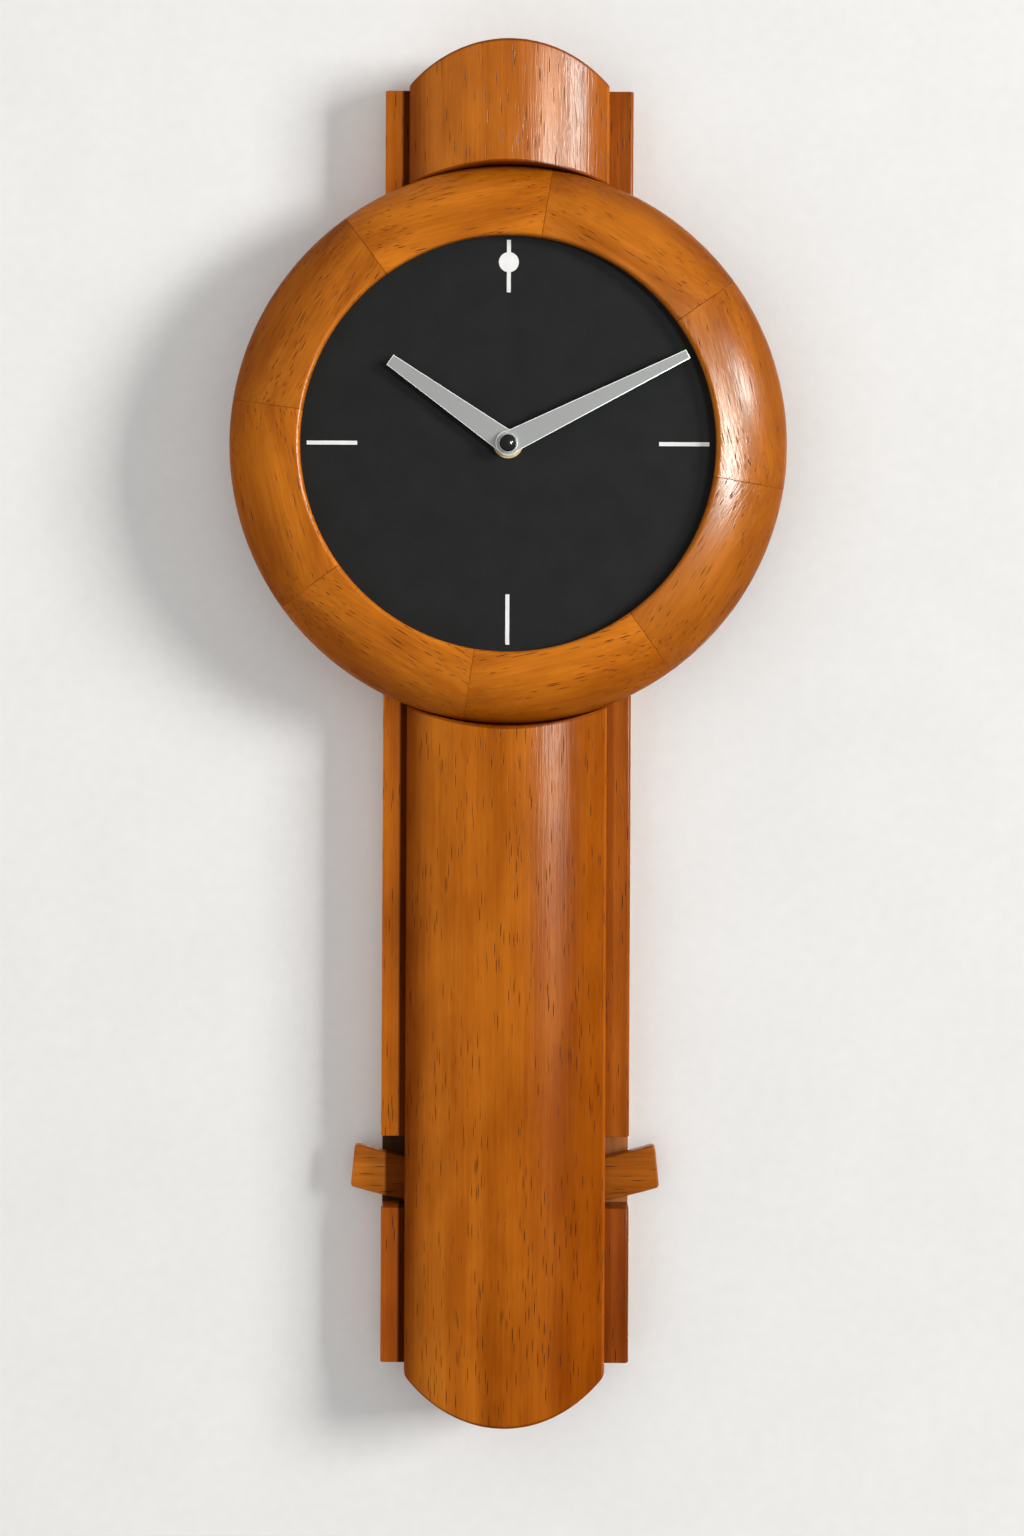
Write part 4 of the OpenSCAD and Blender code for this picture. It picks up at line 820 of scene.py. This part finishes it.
def arched(tip, sign, half, corner):
    """The outer end: an arc that rises from the corners to the tip in the middle. Each corner is a
    smaller arc that touches this one and the cover's side from inside."""
    radius = (half**2 + COVER_ARCH**2) / (2 * COVER_ARCH)
    corner_x = half - corner
    fall = radius - math.sqrt((radius - corner) ** 2 - corner_x**2)
    touch = corner_x * radius / (radius - corner)

    def end(x):
        x = np.minimum(np.abs(x), half)
        rounded = fall - np.sqrt(np.maximum(corner**2 - np.maximum(x - corner_x, 0) ** 2, 0))
        return tip - sign * np.where(x > touch, rounded, radius - np.sqrt(radius**2 - x**2))

    return end


# Node, which way it runs, corner radius, grain shift, painted shade over the middle and to the foot, and
# gloss.
for node, sign, corner, shift, middle, foot, gloss in (
    ("top_cover", 1, 0, (0.9, 0.3, 0.2), 0.28, 0, 0.24),
    ("lower_cover", -1, LOWER_CORNER_R, (1.4, 0.8, 0.1), 0.42, 0.2, 0.10),
):
    low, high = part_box(node)
    ends = [coped(sign), arched(high.z if sign > 0 else low.z, sign, high.x, corner)]
    foot_at, head_at = ends if sign > 0 else ends[::-1]
    rings = cover_rings(cover_loop(high.x, -high.y, -low.y), foot_at, head_at)
    cover_wood = wood(node + "_wood", (0.46, 0.108, 0.002), (0.70, 0.200, 0.010), shift=shift,
                      stain_and_shade=cover_stain_and_painted_light(middle, foot), gloss=gloss)
    board = closed_piece(node + "_board", rings, node, "case", cover_wood, strip=True)
    points = np.empty(3 * len(board.data.vertices))
    board.data.vertices.foreach_get("co", points)
    x, _, z = points.reshape(-1, 3).T
    from_end = np.minimum(np.abs(z - foot_at(x)), np.abs(z - head_at(x)))
    # The eased ends, whose darker tone is partly the end grain's own and partly painted shade.
    mark(board, "end_grain", (from_end < COVER_SOFT_R * 1.2).astype(float))
dress(screw_steel, "cover_screws")


# Pendulum: a moulded arm with a magnet swings on a pin behind the movement. A brass strip hangs from
# it, and the curved wooden crossbar, sawn from one board, is screwed to the strip's end.
BAR_BEND_R = 235 * MM
BAR_TALL = 19.4 * MM
BAR_HALF = 71.2 * MM
BAR_CORNER_R = 1.6 * MM
BAR_SLANT = 5.7
BAR_SOFT_R = 0.8 * MM
# Colour of the bar's deeper tone and of the cover's painted shadow on its left arm.
BAR_STAIN_AND_SHADOW = (0.25, 0.18, 0.08)


def bar_loop():
    """The crossbar's outline about the centre of its bend: two arcs, and slanted ends with rounded
    corners."""
    foot_r, roof_r = BAR_BEND_R + BAR_TALL / 2, BAR_BEND_R - BAR_TALL / 2
    slant = math.radians(BAR_SLANT)
    outward = np.array((math.cos(slant), math.sin(slant)))
    along = np.array((-math.sin(slant), math.cos(slant)))
    out = outward @ (BAR_HALF, -math.sqrt(foot_r**2 - BAR_HALF**2)) - BAR_CORNER_R
    corner_rs = foot_r - BAR_CORNER_R, roof_r + BAR_CORNER_R
    foot, roof = (out * outward - math.sqrt(r**2 - out**2) * along for r in corner_rs)
    foot_turn, roof_turn = (math.degrees(math.atan2(c[0], -c[1])) for c in (foot, roof))
    mirror = np.array((-1, 1))
    return np.vstack((
        arc((0, 0), foot_r, 270 - foot_turn, 270 + foot_turn, 64)[:-1],
        arc(foot, BAR_CORNER_R, foot_turn - 90, BAR_SLANT, 6),
        arc(roof, BAR_CORNER_R, BAR_SLANT, 90 + roof_turn, 6)[:-1],
        arc((0, 0), roof_r, 270 + roof_turn, 270 - roof_turn, 64)[:-1],
        arc(roof * mirror, BAR_CORNER_R, 90 - roof_turn, 180 - BAR_SLANT, 6),
        arc(foot * mirror, BAR_CORNER_R, 180 - BAR_SLANT, 270 - foot_turn, 6)[:-1],
    ))


def bar_tone_and_painted_shadow(tree, place):
    """A deeper tone on the bar's right arm and middle, and, deepest of all, a painted shadow of the
    cover where the left arm comes out from behind it, which moves with the bar as it swings."""
    x = axes(tree, place)["X"]
    right = ranged(tree, x, -20 * MM, -45 * MM, 0.42, 1, smooth=True)
    # Painted shadow of the cover's edge on the left arm.
    left = ranged(tree, x, -56 * MM, -54.5 * MM, smooth=True)
    return worked(tree, "MINIMUM", left, right)


bar_low, bar_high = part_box("crossbar")
outline = bar_loop()
stack = soft_stack(outline, -bar_high.y, -bar_low.y, BAR_SOFT_R)
rings = front_rings(stack, bar_low.z - outline[:, 1].min())
bar_wood = wood("bar_wood", (0.38, 0.095, 0.003), (0.68, 0.195, 0.013), turn=math.pi / 2,
                shift=(0.2, 0.6, 0.9), stain_and_shade=bar_tone_and_painted_shadow, stain_and_shade_colour=BAR_STAIN_AND_SHADOW)
closed_piece("crossbar_bob", rings, "crossbar", "pendulum", bar_wood)
dress(metal("rod_brass", (0.75, 0.55, 0.25), 0.35), "pendulum_rod")
dress(moulded("lever_plastic", (0.035, 0.035, 0.037)), "pendulum_lever")
dress(screw_steel, "crossbar_screws")
